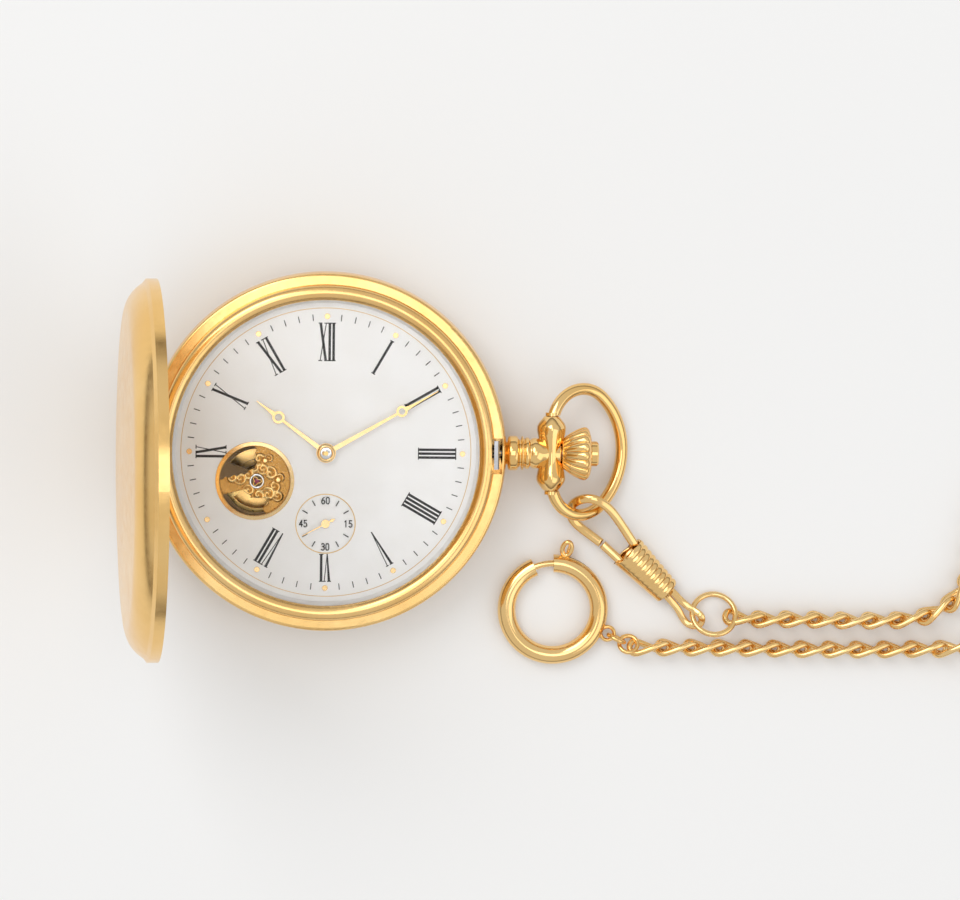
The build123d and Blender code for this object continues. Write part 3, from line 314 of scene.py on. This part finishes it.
chain_line = follow(route, "chain_route")
stations = [0.0]
for before, after in zip(chain_line, chain_line[1:]):
    stations.append(stations[-1] + (after - before).length)
CHAIN_LENGTH = stations[-1]


def along_chain(distance):
    """Point on the chain's line at a distance from its start."""
    distance = min(max(distance, 0.0), CHAIN_LENGTH)
    k = next(i for i in range(1, len(stations)) if stations[i] >= distance)
    span = stations[k] - stations[k - 1]
    return chain_line[k - 1].lerp(chain_line[k], (distance - stations[k - 1]) / span)


LINK_WIRE = 0.43 * MM
LINK_HALF_WIDTH = 1.1 * MM
LINK_STRAIGHT = 3.3 * MM
LINK_LEAN = radians(90)      # each link stands on its edge at its middle
LINK_TWIST = radians(-61)    # and turns this far towards each end
LINK_COUNT = round(CHAIN_LENGTH / (3.79 * MM))
LINK_PITCH = CHAIN_LENGTH / LINK_COUNT
LINK_STEPS = 40


def link_outline():
    """Stadium outline of one link, twisted about its long axis."""
    total = 2 * LINK_STRAIGHT + 2 * pi * LINK_HALF_WIDTH
    half = LINK_STRAIGHT / 2
    outline = []
    for k in range(LINK_STEPS):
        s = total * k / LINK_STEPS
        if s < LINK_STRAIGHT:
            x, y = half - s, LINK_HALF_WIDTH
        elif s < LINK_STRAIGHT + pi * LINK_HALF_WIDTH:
            turn = (s - LINK_STRAIGHT) / LINK_HALF_WIDTH
            x, y = -half - LINK_HALF_WIDTH * sin(turn), LINK_HALF_WIDTH * cos(turn)
        elif s < 2 * LINK_STRAIGHT + pi * LINK_HALF_WIDTH:
            x, y = -half + (s - LINK_STRAIGHT - pi * LINK_HALF_WIDTH), -LINK_HALF_WIDTH
        else:
            turn = (s - 2 * LINK_STRAIGHT - pi * LINK_HALF_WIDTH) / LINK_HALF_WIDTH
            x, y = half + LINK_HALF_WIDTH * sin(turn), -LINK_HALF_WIDTH * cos(turn)
        roll = LINK_LEAN + LINK_TWIST * x / (half + LINK_HALF_WIDTH)
        outline.append((x, y * cos(roll), y * sin(roll)))
    return outline


link_points, link_faces = [], []
LINK_OUTLINE = link_outline()
for k in range(LINK_COUNT):
    middle = (k + 0.5) * LINK_PITCH
    centre = along_chain(middle)
    forward = (along_chain(middle + 1.5 * MM) - along_chain(middle - 1.5 * MM)).normalized()
    left = Vector((0, 0, 1)).cross(forward).normalized()
    above = forward.cross(left)
    wire = [centre + x * forward + y * left + z * above for x, y, z in LINK_OUTLINE]
    loop_tube(wire, 12, LINK_WIRE, link_points, link_faces)
chain = mesh_piece("curb_chain", link_points, link_faces, chain_gold, "chain")
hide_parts("chain_near", "chain_coil", "chain_far")

# ---------------------------------------------------------------- dial printing
DIAL_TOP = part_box("dial")[1][2]
PRINT_Z = DIAL_TOP + 0.012 * MM
PRINT_THICK = 0.012 * MM


class Print:
    """Thin raised print on the dial, gathered into one mesh."""

    def __init__(self):
        self.points = []
        self.faces = []

    def shape(self, outline):
        """A filled outline, given in millimetres on the dial."""
        base = len(self.points)
        count = len(outline)
        for z in (PRINT_Z, PRINT_Z - PRINT_THICK):
            self.points += [Vector((x * MM, y * MM, z)) for x, y in outline]
        self.faces.append(tuple(range(base, base + count)))
        for i in range(count):
            j = (i + 1) % count
            self.faces.append((base + i, base + count + i, base + count + j, base + j))

    def ring(self, centre, inner, outer, steps=160):
        base = len(self.points)
        for i in range(steps):
            turn = 2 * pi * i / steps
            for radius, drop in ((inner, PRINT_THICK), (inner, 0), (outer, 0), (outer, PRINT_THICK)):
                self.points.append(Vector(((centre[0] + radius * cos(turn)) * MM,
                                           (centre[1] + radius * sin(turn)) * MM,
                                           PRINT_Z - drop)))
        for i in range(steps):
            a, b = base + 4 * i, base + 4 * ((i + 1) % steps)
            for k in range(3):
                self.faces.append((a + k, b + k, b + k + 1, a + k + 1))

    def piece(self, name, material, slot_name):
        return mesh_piece(name, self.points, self.faces, material, "case", smooth=False)


def radial(angle, across, out, centre=(0.0, 0.0)):
    """Dial point at a clock angle: across to the right and outwards, in millimetres."""
    turn = radians(90 - angle)
    return (centre[0] + out * cos(turn) + across * sin(turn),
            centre[1] + out * sin(turn) - across * cos(turn))


def stroke(sheet, angle, start, end, width_start, width_end, centre=(0.0, 0.0)):
    """Straight stroke between two (across, out) places, its ends cut level."""
    (x0, r0), (x1, r1) = start, end
    corners = ((x0 - width_start / 2, r0), (x0 + width_start / 2, r0), (x1 + width_end / 2, r1),
               (x1 - width_end / 2, r1))
    sheet.shape([radial(angle, across, out, centre) for across, out in corners])


NUMERAL_INNER = 12.2
NUMERAL_OUTER = 17.3
SERIF = 0.13
THICK = 0.34
THIN = 0.12


def numeral(sheet, angle, text, inner=NUMERAL_INNER, flip=False):
    """Condensed Roman numeral that stands with its top outwards."""
    widths = {"I": 0.52, "V": 1.05, "X": 1.2}
    cursor = -sum(widths[c] for c in text) / 2
    for c in text:
        width = widths[c]
        middle = cursor + width / 2
        low, high = inner, NUMERAL_OUTER
        if c == "I":
            stroke(sheet, angle, (middle, low), (middle, high), THICK, THICK)
            for end in (low + SERIF / 2, high - SERIF / 2):
                stroke(sheet, angle, (middle, end - SERIF / 2), (middle, end + SERIF / 2), width + 0.06,
                       width + 0.06)
        if c == "V":
            stroke(sheet, angle, (middle, low), (cursor + 0.24, high), 0.16, THICK)
            stroke(sheet, angle, (middle, low), (cursor + width - 0.16, high), 0.1, THIN)
            for side, span in ((cursor + 0.24, 0.55), (cursor + width - 0.16, 0.4)):
                stroke(sheet, angle, (side, high - SERIF), (side, high), span, span)
        if c == "X":
            stroke(sheet, angle, (cursor + width - 0.24, low), (cursor + 0.24, high), THICK, THICK)
            stroke(sheet, angle, (cursor + 0.2, low), (cursor + width - 0.2, high), THIN, THIN)
            for level in (low, high - SERIF):
                stroke(sheet, angle, (cursor + 0.22, level), (cursor + 0.22, level + SERIF), 0.5, 0.5)
                stroke(sheet, angle, (cursor + width - 0.22, level),
                       (cursor + width - 0.22, level + SERIF), 0.5, 0.5)
        cursor += width


NUMERALS = {0: "XII", 30: "I", 60: "II", 90: "III", 120: "IIII", 150: "V", 180: "VI", 210: "VII",
            270: "IX", 300: "X",
            330: "XI"}
SECONDS = (0.0, -9.5)
MINUTE_MARKS = (17.6, 18.45)     # inner and outer end of the minute strokes
SECOND_MARKS = (2.75, 3.55)
MARK_WIDTH = 0.13
DIAL_LINE = (19.2, 19.3)         # gilt line round the dial
SECONDS_LINE = (3.88, 4.02)
APERTURE = (-9.43, -3.84)
black = Print()
for angle, text in NUMERALS.items():
    inner = NUMERAL_INNER
    if angle == 180:
        inner = -SECONDS[1] + 4.05
    if angle == 270:
        inner = 13.2
    numeral(black, angle, text, inner)
for minute in range(60):
    if minute % 5:
        stroke(black, 6 * minute, (0, MINUTE_MARKS[0]), (0, MINUTE_MARKS[1]), MARK_WIDTH, MARK_WIDTH)

DIGIT_STROKES = {
    "0": [((0.0, 0.2), (0.0, 0.8)), ((0.45, 0.2), (0.45, 0.8)), ((0.0, 0.8), (0.12, 1.0)),
          ((0.12, 1.0), (0.33, 1.0)),
          ((0.33, 1.0), (0.45, 0.8)), ((0.0, 0.2), (0.12, 0.0)), ((0.12, 0.0), (0.33, 0.0)),
          ((0.33, 0.0), (0.45, 0.2))],
    "1": [((0.22, 0.0), (0.22, 1.0)), ((0.05, 0.82), (0.22, 1.0))],
    "3": [((0.02, 0.9), (0.15, 1.0)), ((0.15, 1.0), (0.32, 1.0)), ((0.32, 1.0), (0.43, 0.85)),
          ((0.43, 0.85), (0.43, 0.68)),
          ((0.43, 0.68), (0.28, 0.54)), ((0.28, 0.54), (0.15, 0.54)), ((0.28, 0.54), (0.45, 0.38)),
          ((0.45, 0.38), (0.45, 0.17)),
          ((0.45, 0.17), (0.32, 0.0)), ((0.32, 0.0), (0.12, 0.0)), ((0.12, 0.0), (0.0, 0.12))],
    "4": [((0.35, 0.0), (0.35, 1.0)), ((0.35, 1.0), (0.0, 0.32)), ((0.0, 0.32), (0.5, 0.32))],
    "5": [((0.42, 1.0), (0.07, 1.0)), ((0.07, 1.0), (0.04, 0.56)), ((0.04, 0.56), (0.28, 0.62)),
          ((0.28, 0.62), (0.45, 0.42)),
          ((0.45, 0.42), (0.45, 0.18)), ((0.45, 0.18), (0.3, 0.0)), ((0.3, 0.0), (0.1, 0.0)),
          ((0.1, 0.0), (0.0, 0.12))],
    "6": [((0.38, 1.0), (0.15, 0.82)), ((0.15, 0.82), (0.0, 0.45)), ((0.0, 0.45), (0.0, 0.18)),
          ((0.0, 0.18), (0.13, 0.0)),
          ((0.13, 0.0), (0.32, 0.0)), ((0.32, 0.0), (0.45, 0.18)), ((0.45, 0.18), (0.45, 0.4)),
          ((0.45, 0.4), (0.32, 0.56)),
          ((0.32, 0.56), (0.13, 0.56)), ((0.13, 0.56), (0.0, 0.4))],
}
DIGIT_HEIGHT = 0.86
DIGIT_LINE = 0.13


def digits(sheet, text, centre):
    """Upright number made of short strokes, centred on a dial point."""
    advance = 0.7 * DIGIT_HEIGHT
    start = centre[0] - advance * len(text) / 2 + 0.1 * DIGIT_HEIGHT
    for i, c in enumerate(text):
        for begin, finish in DIGIT_STROKES[c]:
            a = Vector((start + i * advance + begin[0] * DIGIT_HEIGHT,
                        centre[1] + (begin[1] - 0.5) * DIGIT_HEIGHT))
            b = Vector((start + i * advance + finish[0] * DIGIT_HEIGHT,
                        centre[1] + (finish[1] - 0.5) * DIGIT_HEIGHT))
            line = (b - a).normalized()
            side = Vector((-line.y, line.x)) * DIGIT_LINE / 2
            a -= line * DIGIT_LINE * 0.35
            b += line * DIGIT_LINE * 0.35
            sheet.shape([tuple(a - side), tuple(b - side), tuple(b + side), tuple(a + side)])


for text, place in (("60", (0, 3.1)), ("15", (3.05, 0)), ("30", (0, -3.1)), ("45", (-2.95, 0))):
    digits(black, text, (SECONDS[0] + place[0], SECONDS[1] + place[1]))
for mark in range(12):
    if mark % 3:
        stroke(black, 30 * mark, (0, SECOND_MARKS[0]), (0, SECOND_MARKS[1]), 0.14, 0.14, SECONDS)
black.piece("dial_print_black", ink, "dial_white")

gilt_lines = Print()
gilt_lines.ring((0, 0), *DIAL_LINE, 240)
gilt_lines.ring(SECONDS, *SECONDS_LINE, 160)
gilt_lines.piece("dial_print_gold", gold_ink, "gold_trim")

# ---------------------------------------------------------------- engraved plate in the aperture
BALANCE = (-9.2, -3.95)
PLATE_Z = 7.34
SCROLLS = ((-8.9, -1.0, 0.85, 1), (-7.4, -2.9, 0.85, -1), (-8.4, -2.3, 0.7, 1), (-6.9, -4.6, 0.8, 1),
           (-7.7, -5.7, 0.85, -1), (-9.0, -5.8, 0.75, 1), (-10.3, -5.2, 0.7, -1), (-10.4, -3.1, 0.75, -1),
           (-11.4, -3.6, 0.75, 1), (-12.6, -3.5, 0.7, -1), (-6.2, -3.4, 0.6, 1), (-6.4, -5.9, 0.65, 1),
           (-9.6, -2.2, 0.6, -1), (-7.6, -0.9, 0.5, -1), (-8.2, -6.7, 0.55, 1))
POSTS = ((-8.1, -1.2, 0.33), (-6.35, -3.75, 0.36))


def scroll_height(x, y):
    """Relief of the engraving: rolled leaves around a few curls."""
    level = 0.0
    for cx, cy, size, hand in SCROLLS:
        distance = sqrt((x - cx) ** 2 + (y - cy) ** 2) / size
        if distance < 1.15:
            swirl = cos(hand * atan2(y - cy, x - cx) + 2 * pi * distance * 1.15)
            level = max(level, (1.15 - distance) ** 0.3 * (0.45 + 0.55 * swirl))
    for cx, cy, size in POSTS:
        distance = sqrt((x - cx) ** 2 + (y - cy) ** 2) / size
        if distance < 1.5:
            level = 1.1 if distance < 1.0 else 0.0
    return level


def on_plate(x, y):
    """Whether the engraved plate covers this place of the aperture."""
    near = sqrt((x - BALANCE[0]) ** 2 + (y - BALANCE[1]) ** 2)
    if near < 1.0 or sqrt((x - APERTURE[0]) ** 2 + (y - APERTURE[1]) ** 2) > 4.9:
        return False
    if near < 1.75:
        return True
    upper_edge = -9.35 + 0.12 * sin(7 * y)
    lower_edge = -7.9 - 0.45 * sin(2.2 * (y + 5.5)) if y < -6.2 else -10.2 + 0.2 * sin(5 * y)
    arm = -4.75 < y - 0.25 * (x + 9.4) < -2.55 + 0.12 * sin(6 * x)
    return x > (upper_edge if y > -3.0 else lower_edge) or arm


PLATE_STEP = 0.055
PLATE_RELIEF = 0.26
plate_points, plate_faces, plate_index = [], [], {}
cells = range(-92, 93)
for i in cells:
    for j in cells:
        middle = (APERTURE[0] + (i + 0.5) * PLATE_STEP, APERTURE[1] + (j + 0.5) * PLATE_STEP)
        if not on_plate(*middle):
            continue
        corners = []
        for a, b in ((i, j), (i + 1, j), (i + 1, j + 1), (i, j + 1)):
            if (a, b) not in plate_index:
                x, y = APERTURE[0] + a * PLATE_STEP, APERTURE[1] + b * PLATE_STEP
                plate_index[(a, b)] = len(plate_points)
                plate_points.append(mm(x, y, PLATE_Z + PLATE_RELIEF * scroll_height(x, y)))
            corners.append(plate_index[(a, b)])
        plate_faces.append(tuple(corners))
# base colour runs from dark brown at the bottom of the relief to bright gold at its top: painted shade in
# the engraved hollows
place = add_node(engraved_gold, "ShaderNodeTexCoord")
levels = add_node(engraved_gold, "ShaderNodeSeparateXYZ")
spread = add_node(engraved_gold, "ShaderNodeMapRange")
spread.inputs["From Min"].default_value = PLATE_Z * MM
spread.inputs["From Max"].default_value = (PLATE_Z + 0.7 * PLATE_RELIEF) * MM
relief_painted_shade = ramp_between(engraved_gold, spread.outputs["Result"], (0.42, 0.22, 0.06),
                           (0.95, 0.68, 0.3), 0.05, 0.8)
join(engraved_gold, place.outputs["Object"], levels.inputs["Vector"])
join(engraved_gold, levels.outputs["Z"], spread.inputs["Value"])
join(engraved_gold, relief_painted_shade.outputs["Color"],
     engraved_gold.node_tree.nodes["Principled BSDF"].inputs["Base Color"])
engraved = mesh_piece("engraved_plate", plate_points, plate_faces, engraved_gold, "case")
skirt = engraved.modifiers.new("thickness", "SOLIDIFY")
skirt.thickness = 0.03 * MM
skirt.offset = -1.0
rounder = engraved.modifiers.new("soft_edges", "SMOOTH")
rounder.factor = 0.5
rounder.iterations = 3

# ---------------------------------------------------------------- turned and fluted pieces
STEM_Z = 6.3


def turned_piece(name, outline, origin, axis, material, body, ripple=None, sides=96):
    """Lathe an open (along, radius) outline about an axis through a point, all in millimetres."""
    along = Vector(axis).normalized()
    first = along.orthogonal().normalized()
    second = along.cross(first)
    points, faces = [], []
    for i in range(sides):
        turn = 2 * pi * i / sides
        for place, radius in outline:
            reach = ripple(place, radius, turn) if ripple else radius
            outward = first * cos(turn) + second * sin(turn)
            points.append((Vector(origin) + along * place + outward * reach) * MM)
    rows = len(outline)
    for i in range(sides):
        for k in range(rows - 1):
            a = i * rows + k
            b = (i + 1) % sides * rows + k
            faces.append((a, a + 1, b + 1, b))
    return mesh_piece(name, points, faces, material, body)


CROWN_START = 31.62
CROWN_PROFILE = [(0.0, 1.0), (0.0, 1.7), (0.1, 1.9), (0.5, 2.25), (1.1, 2.7), (1.8, 3.1), (2.4, 3.36),
                 (2.85, 3.48),
                 (3.1, 3.46), (3.35, 3.26), (3.55, 2.85), (3.7, 2.3), (3.78, 1.78)]
CROWN_FLUTES = 16


def crown_ripple(place, radius, turn):
    """Rounded flutes that fade out at both ends of the crown."""
    depth = 0.16 * max(0.0, min(1.0, place / 0.7, (3.8 - place) / 0.35))
    return radius - depth * (1 - abs(cos(CROWN_FLUTES * turn / 2)) ** 0.7) * 1.9


crown_piece = turned_piece("fluted_crown", CROWN_PROFILE, (CROWN_START, 0, STEM_Z), (1, 0, 0), gold,
                           "crown",
                           crown_ripple, 16 * CROWN_FLUTES)
crown_edge = crown_piece.modifiers.new("thickness", "SOLIDIFY")
crown_edge.thickness = 0.1 * MM
crown_edge.offset = -1.0
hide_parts("crown")

PENDANT_NECK = [(23.4, 1.2), (23.7, 1.5), (24.2, 1.55), (24.3, 2.1), (24.42, 2.28), (24.65, 2.33),
                (25.3, 2.33), (25.5, 2.28),
                (25.62, 2.1), (25.75, 1.86), (26.0, 1.82), (26.05, 2.15), (26.15, 2.28), (26.28, 2.28),
                (26.36, 2.1),
                (26.42, 1.9), (26.5, 1.9), (26.6, 2.05), (26.75, 2.12), (27.0, 2.12), (27.15, 2.02),
                (27.22, 1.84),
                (27.32, 1.84), (27.5, 2.0), (27.9, 2.08), (28.4, 2.02), (28.9, 1.8), (29.3, 1.55),
                (29.8, 1.36),
                (31.3, 1.34), (31.45, 1.25), (31.46, 0.85)]
neck = turned_piece("pendant_neck", PENDANT_NECK, (0, 0, STEM_Z), (1, 0, 0), gold, "case")
EARS = [(-5.04, 0.0), (-5.03, 0.86), (-4.92, 1.02), (-4.5, 1.34), (-4.0, 1.7), (-3.6, 1.86),
        (-3.1, 1.86), (-2.5, 1.74),
        (-1.8, 1.58), (-1.0, 1.48), (0.0, 1.45)]
EARS += [(-place, radius) for place, radius in reversed(EARS[:-1])]


def ear_facets(place, radius, turn):
    """Soft four-sided section whose front is a long leaf."""
    corner = abs(((turn / (pi / 2)) % 1.0) - 0.5) * 2
    return radius * (0.95 + 0.09 * (1 - corner) ** 1.4)


turned_piece("pendant_ears", EARS, (30.1, 0, STEM_Z), (0, 1, 0), gold, "case", ear_facets,
             96)
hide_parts("pendant")

# ---------------------------------------------------------------- clip sleeve
CLIP_TURN = radians(-45)
CLIP_START = (41.0, -13.65, 2.5)
CLIP_FALL = 0.115
SLEEVE_LENGTH = 7.9
SLEEVE_RIDGES = 9
SLEEVE_HALF = (2.45, 1.85)          # half width across, front and rear
SLEEVE_TALL = 0.8                 # height of the section over its width
clip_along = Vector((cos(CLIP_TURN), sin(CLIP_TURN), -CLIP_FALL)).normalized()
clip_across = Vector((-sin(CLIP_TURN), cos(CLIP_TURN), 0))
clip_up = clip_along.cross(clip_across)


def sleeve_point(place, turn):
    """Ridged tapered sleeve; the side away from the crown is left plain."""
    share = place / SLEEVE_LENGTH
    reach = SLEEVE_HALF[0] + (SLEEVE_HALF[1] - SLEEVE_HALF[0]) * share
    plain = 0.5 + 0.5 * max(-1.0, min(1.0, (cos(turn) + 0.35) * 2.2))
    lobe = abs(sin(pi * SLEEVE_RIDGES * share))
    reach -= 0.2 * plain * (1 - lobe ** 0.8)
    return (Vector(CLIP_START) + clip_along * place + clip_across * reach * cos(turn)
            + clip_up * reach * SLEEVE_TALL * sin(turn)) * MM


SLEEVE_ROWS = 144
SLEEVE_SIDES = 72
sleeve_points, sleeve_faces = [], []
for i in range(SLEEVE_ROWS + 1):
    for k in range(SLEEVE_SIDES):
        turn = 2 * pi * k / SLEEVE_SIDES
        scallop = 0.16 * sin(4 * turn) if i == 0 else 0.0
        sleeve_points.append(sleeve_point(SLEEVE_LENGTH * i / SLEEVE_ROWS + scallop * 0.4, turn))
for i in range(SLEEVE_ROWS):
    for k in range(SLEEVE_SIDES):
        a = i * SLEEVE_SIDES + k
        b = i * SLEEVE_SIDES + (k + 1) % SLEEVE_SIDES
        sleeve_faces.append((a, b, b + SLEEVE_SIDES, a + SLEEVE_SIDES))
sleeve_piece = mesh_piece("ridged_sleeve", sleeve_points, sleeve_faces, chain_gold, "sleeve")
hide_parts("clip_sleeve")
sleeve_wall = sleeve_piece.modifiers.new("wall", "SOLIDIFY")
sleeve_wall.thickness = 0.3 * MM
sleeve_face = (sleeve_points[1] - sleeve_points[0]).cross(sleeve_points[SLEEVE_SIDES] - sleeve_points[0])
sleeve_wall.offset = 1.0 if sleeve_face.dot(sleeve_points[0] - mm(*CLIP_START)) < 0 else -1.0


def bent_strip(name, route_points, wide, thick, material, body, closed=False):
    """Rounded flat wire swept along points; it stays wide across the view from above."""
    line = follow([mm(*place) for place in route_points], name + "_route", 10)
    points, faces = [], []
    sides = 16
    for i, centre in enumerate(line):
        before, after = line[max(i - 1, 0)], line[min(i + 1, len(line) - 1)]
        along = (after - before).normalized()
        side = Vector((0, 0, 1)).cross(along)
        side = side.normalized() if side.length > 0.2 else last_side
        last_side = side
        up = along.cross(side)
        for k in range(sides):
            turn = 2 * pi * k / sides
            x = abs(cos(turn)) ** 0.6 * (1 if cos(turn) > 0 else -1) * wide / 2
            z = abs(sin(turn)) ** 0.6 * (1 if sin(turn) > 0 else -1) * thick / 2
            points.append(centre + (side * x + up * z) * MM)
    for i in range(len(line) - 1):
        for k in range(sides):
            a = i * sides + k
            b = i * sides + (k + 1) % sides
            faces.append((a, b, b + sides, a + sides))
    faces.append(tuple(reversed(range(sides))))
    faces.append(tuple(range((len(line) - 1) * sides, len(line) * sides)))
    return mesh_piece(name, points, faces, material, body)


def clip_place(s, t, z):
    """Point s along the clip, t across it and z above the surface, in millimetres."""
    return (CLIP_START[0] + s * cos(CLIP_TURN) - t * sin(CLIP_TURN),
            CLIP_START[1] + s * sin(CLIP_TURN) + t * cos(CLIP_TURN), z)


HOOK_ROUTE = [(3.4, 0.4, 2.15), (2.6, 0.8, 2.3), (-0.5, 1.36, 2.9), (-3.0, 1.85, 3.75), (-5.6, 2.3, 4.6),
              (-7.4, 2.25, 5.05),
              (-9.1, 1.6, 5.2), (-10.0, 0.3, 4.4), (-10.05, -1.1, 3.1), (-9.0, -2.2, 2.1),
              (-7.6, -2.45, 1.65),
              (-5.6, -2.2, 1.5), (-3.3, -1.82, 1.45)]
LOOP_ROUTE = [(6.6, 0.5, 1.65), (9.0, 0.5, 1.6), (10.8, 0.5, 1.5), (12.2, 0.8, 1.8), (13.4, 1.1, 2.3),
              (14.2, 0.5, 1.8),
              (14.25, -0.4, 1.35), (13.3, -1.15, 1.0), (12.2, -1.1, 0.9), (10.6, -0.6, 1.1),
              (9.0, -0.5, 1.4),
              (6.6, -0.5, 1.6)]
hook_piece = bent_strip("clip_hook_strip", [clip_place(*spot) for spot in HOOK_ROUTE], 1.24, 1.1,
                        chain_gold, "clip")
bent_strip("clip_rear_loop", [clip_place(*spot) for spot in LOOP_ROUTE], 0.94, 0.58, chain_gold, "clip")
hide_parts("clip_hook")
GATE_ROUTE = [(-2.95, -1.8, 1.45), (-1.2, -1.7, 1.6), (0.8, -1.62, 1.75)]
bent_strip("clip_gate_stub", [clip_place(*spot) for spot in GATE_ROUTE], 1.2, 1.06, chain_gold, "sleeve")
CORE = [(2.2, 0.0), (2.2, 0.72), (8.4, 0.72), (8.4, 0.0)]
turned_piece("clip_core", CORE, CLIP_START, tuple(clip_along), chain_gold, "clip")

# ---------------------------------------------------------------- shock setting of the balance
SETTING = [(7.36, 0.98), (7.56, 0.98), (7.6, 0.93), (7.6, 0.78), (7.54, 0.72), (7.42, 0.72)]
setting = turned_piece("shock_setting_ring", SETTING, (*BALANCE, 0), (0, 0, 1), bright_steel, "case")
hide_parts("shock_setting")
# dark disc inside the setting ring: painted shade standing in for the depth of the well
turned_piece("shock_setting_shade_disc", [(7.4, 0.74), (7.4, 0.01)], (*BALANCE, 0), (0, 0, 1), brass_in_painted_shade,
             "case")
turned_piece("shock_setting_jewel", [(7.41, 0.36), (7.5, 0.34), (7.54, 0.24), (7.55, 0.01)],
             (*BALANCE, 0),
                     (0, 0, 1), ruby, "case")
lobe_points, lobe_faces = [], []
LOBE_COUNT = 3
lobe_line = []
for k in range(72):
    turn = 2 * pi * k / 72
    reach = 0.46 + 0.17 * cos(LOBE_COUNT * turn)
    lobe_line.append(mm(BALANCE[0] + reach * cos(turn), BALANCE[1] + reach * sin(turn), 7.55))
loop_tube(lobe_line, 8, 0.06 * MM, lobe_points, lobe_faces)
mesh_piece("shock_spring", lobe_points, lobe_faces, gold, "case")

# ---------------------------------------------------------------- thumb lug of the bolt ring
RING_CENTRE = (31.0, -21.8, 1.26)
LUG_AT = radians(78)
LUG_REACH = 8.55             # from the middle of the bolt ring to the middle of the lug
LUG_HALF = (0.62, 0.95)      # half width and half length of the wire loop
LUG_WIRE = 0.33
LUG_STEPS = 48
lug_out = Vector((cos(LUG_AT), sin(LUG_AT), 0))
lug_side = Vector((-sin(LUG_AT), cos(LUG_AT), 0))
lug_centre = Vector(RING_CENTRE) + lug_out * LUG_REACH
lug_line = []
for k in range(LUG_STEPS):
    turn = 2 * pi * k / LUG_STEPS
    lug_line.append((lug_centre + lug_side * LUG_HALF[0] * cos(turn) + lug_out * LUG_HALF[1] * sin(turn)
                     + Vector((0, 0, 0.45 + 0.35 * sin(turn)))) * MM)
lug_points, lug_faces = [], []
loop_tube(lug_line, 12, LUG_WIRE * MM, lug_points, lug_faces)
mesh_piece("thumb_lug", lug_points, lug_faces, chain_gold, "gate")

# ---------------------------------------------------------------- hub of the hands
HUB_RING = [(8.98, 0.72), (9.13, 0.76), (9.2, 0.88), (9.2, 0.98), (9.12, 1.14), (8.98, 1.2)]
HUB_CAP = [(9.105, 0.74), (9.125, 0.6), (9.13, 0.36), (9.18, 0.32), (9.2, 0.22), (9.21, 0.01)]
turned_piece("minute_hand_hub", HUB_RING, (0, 0, 0), (0, 0, 1), hand_gold, "minute",
             sides=64)
turned_piece("minute_hand_cap", HUB_CAP, (0, 0, 0), (0, 0, 1), bright_steel, "minute",
             sides=48)

# ---------------------------------------------------------------- stage and light
floor_material = coloured("studio_floor", (0.855, 0.855, 0.85), (0.865, 0.865, 0.86), 0.6, scale=60.0,
                          bump=0.0)
floor_mesh = bpy.data.meshes.new("studio_floor")
FLOOR = 3.0
FLOOR_GAP = 0.02 * MM
floor_mesh.from_pydata([(-FLOOR, -FLOOR, 0), (FLOOR, -FLOOR, 0), (FLOOR, FLOOR, 0), (-FLOOR, FLOOR, 0)],
                       [], [(0, 1, 2, 3)])
floor_mesh.materials.append(floor_material)
floor = bpy.data.objects.new("studio_floor", floor_mesh)
floor.location.z = -FLOOR_GAP
collection.objects.link(floor)


def soft_light(name, place, aim, size, power, colour=(1, 1, 1)):
    """Large square soft box that faces a point."""
    light = bpy.data.lights.new(name, "AREA")
    light.size = size
    light.energy = power
    light.color = colour
    holder = bpy.data.objects.new(name, light)
    holder.location = place
    holder.rotation_euler = (Vector(aim) - Vector(place)).to_track_quat("-Z", "Y").to_euler()
    collection.objects.link(holder)
    return holder


soft_light("key_light", (-0.35, 0.45, 0.75), (0, 0, 0), 0.5, 2.3)
soft_light("fill_light", (0.55, -0.25, 0.6), (0.02, 0, 0), 0.6, 0.8)
soft_light("top_light", (0.0, 0.1, 1.1), (0, 0, 0), 0.5, 1.1)

# dim horizon under a white sky, so polished metal keeps darker edges
SKY_STRENGTH = 0.72
HORIZON_TONE = (0.2, 0.18, 0.16, 1)
SKY_WHITE_FROM = 0.35
world = bpy.data.worlds.new("studio")
scene.world = world
world.use_nodes = True
world_nodes = world.node_tree.nodes
background = world_nodes["Background"]
where = world_nodes.new("ShaderNodeTexCoord")
split = world_nodes.new("ShaderNodeSeparateXYZ")
tone = world_nodes.new("ShaderNodeValToRGB")
world.node_tree.links.new(where.outputs["Generated"], split.inputs["Vector"])
world.node_tree.links.new(split.outputs["Z"], tone.inputs["Fac"])
world.node_tree.links.new(tone.outputs["Color"], background.inputs["Color"])
tone.color_ramp.elements[0].position = 0.0
tone.color_ramp.elements[0].color = HORIZON_TONE
tone.color_ramp.elements[1].position = SKY_WHITE_FROM
tone.color_ramp.elements[1].color = (1, 1, 1, 1)
background.inputs["Strength"].default_value = SKY_STRENGTH
scene.view_settings.view_transform = "Standard"
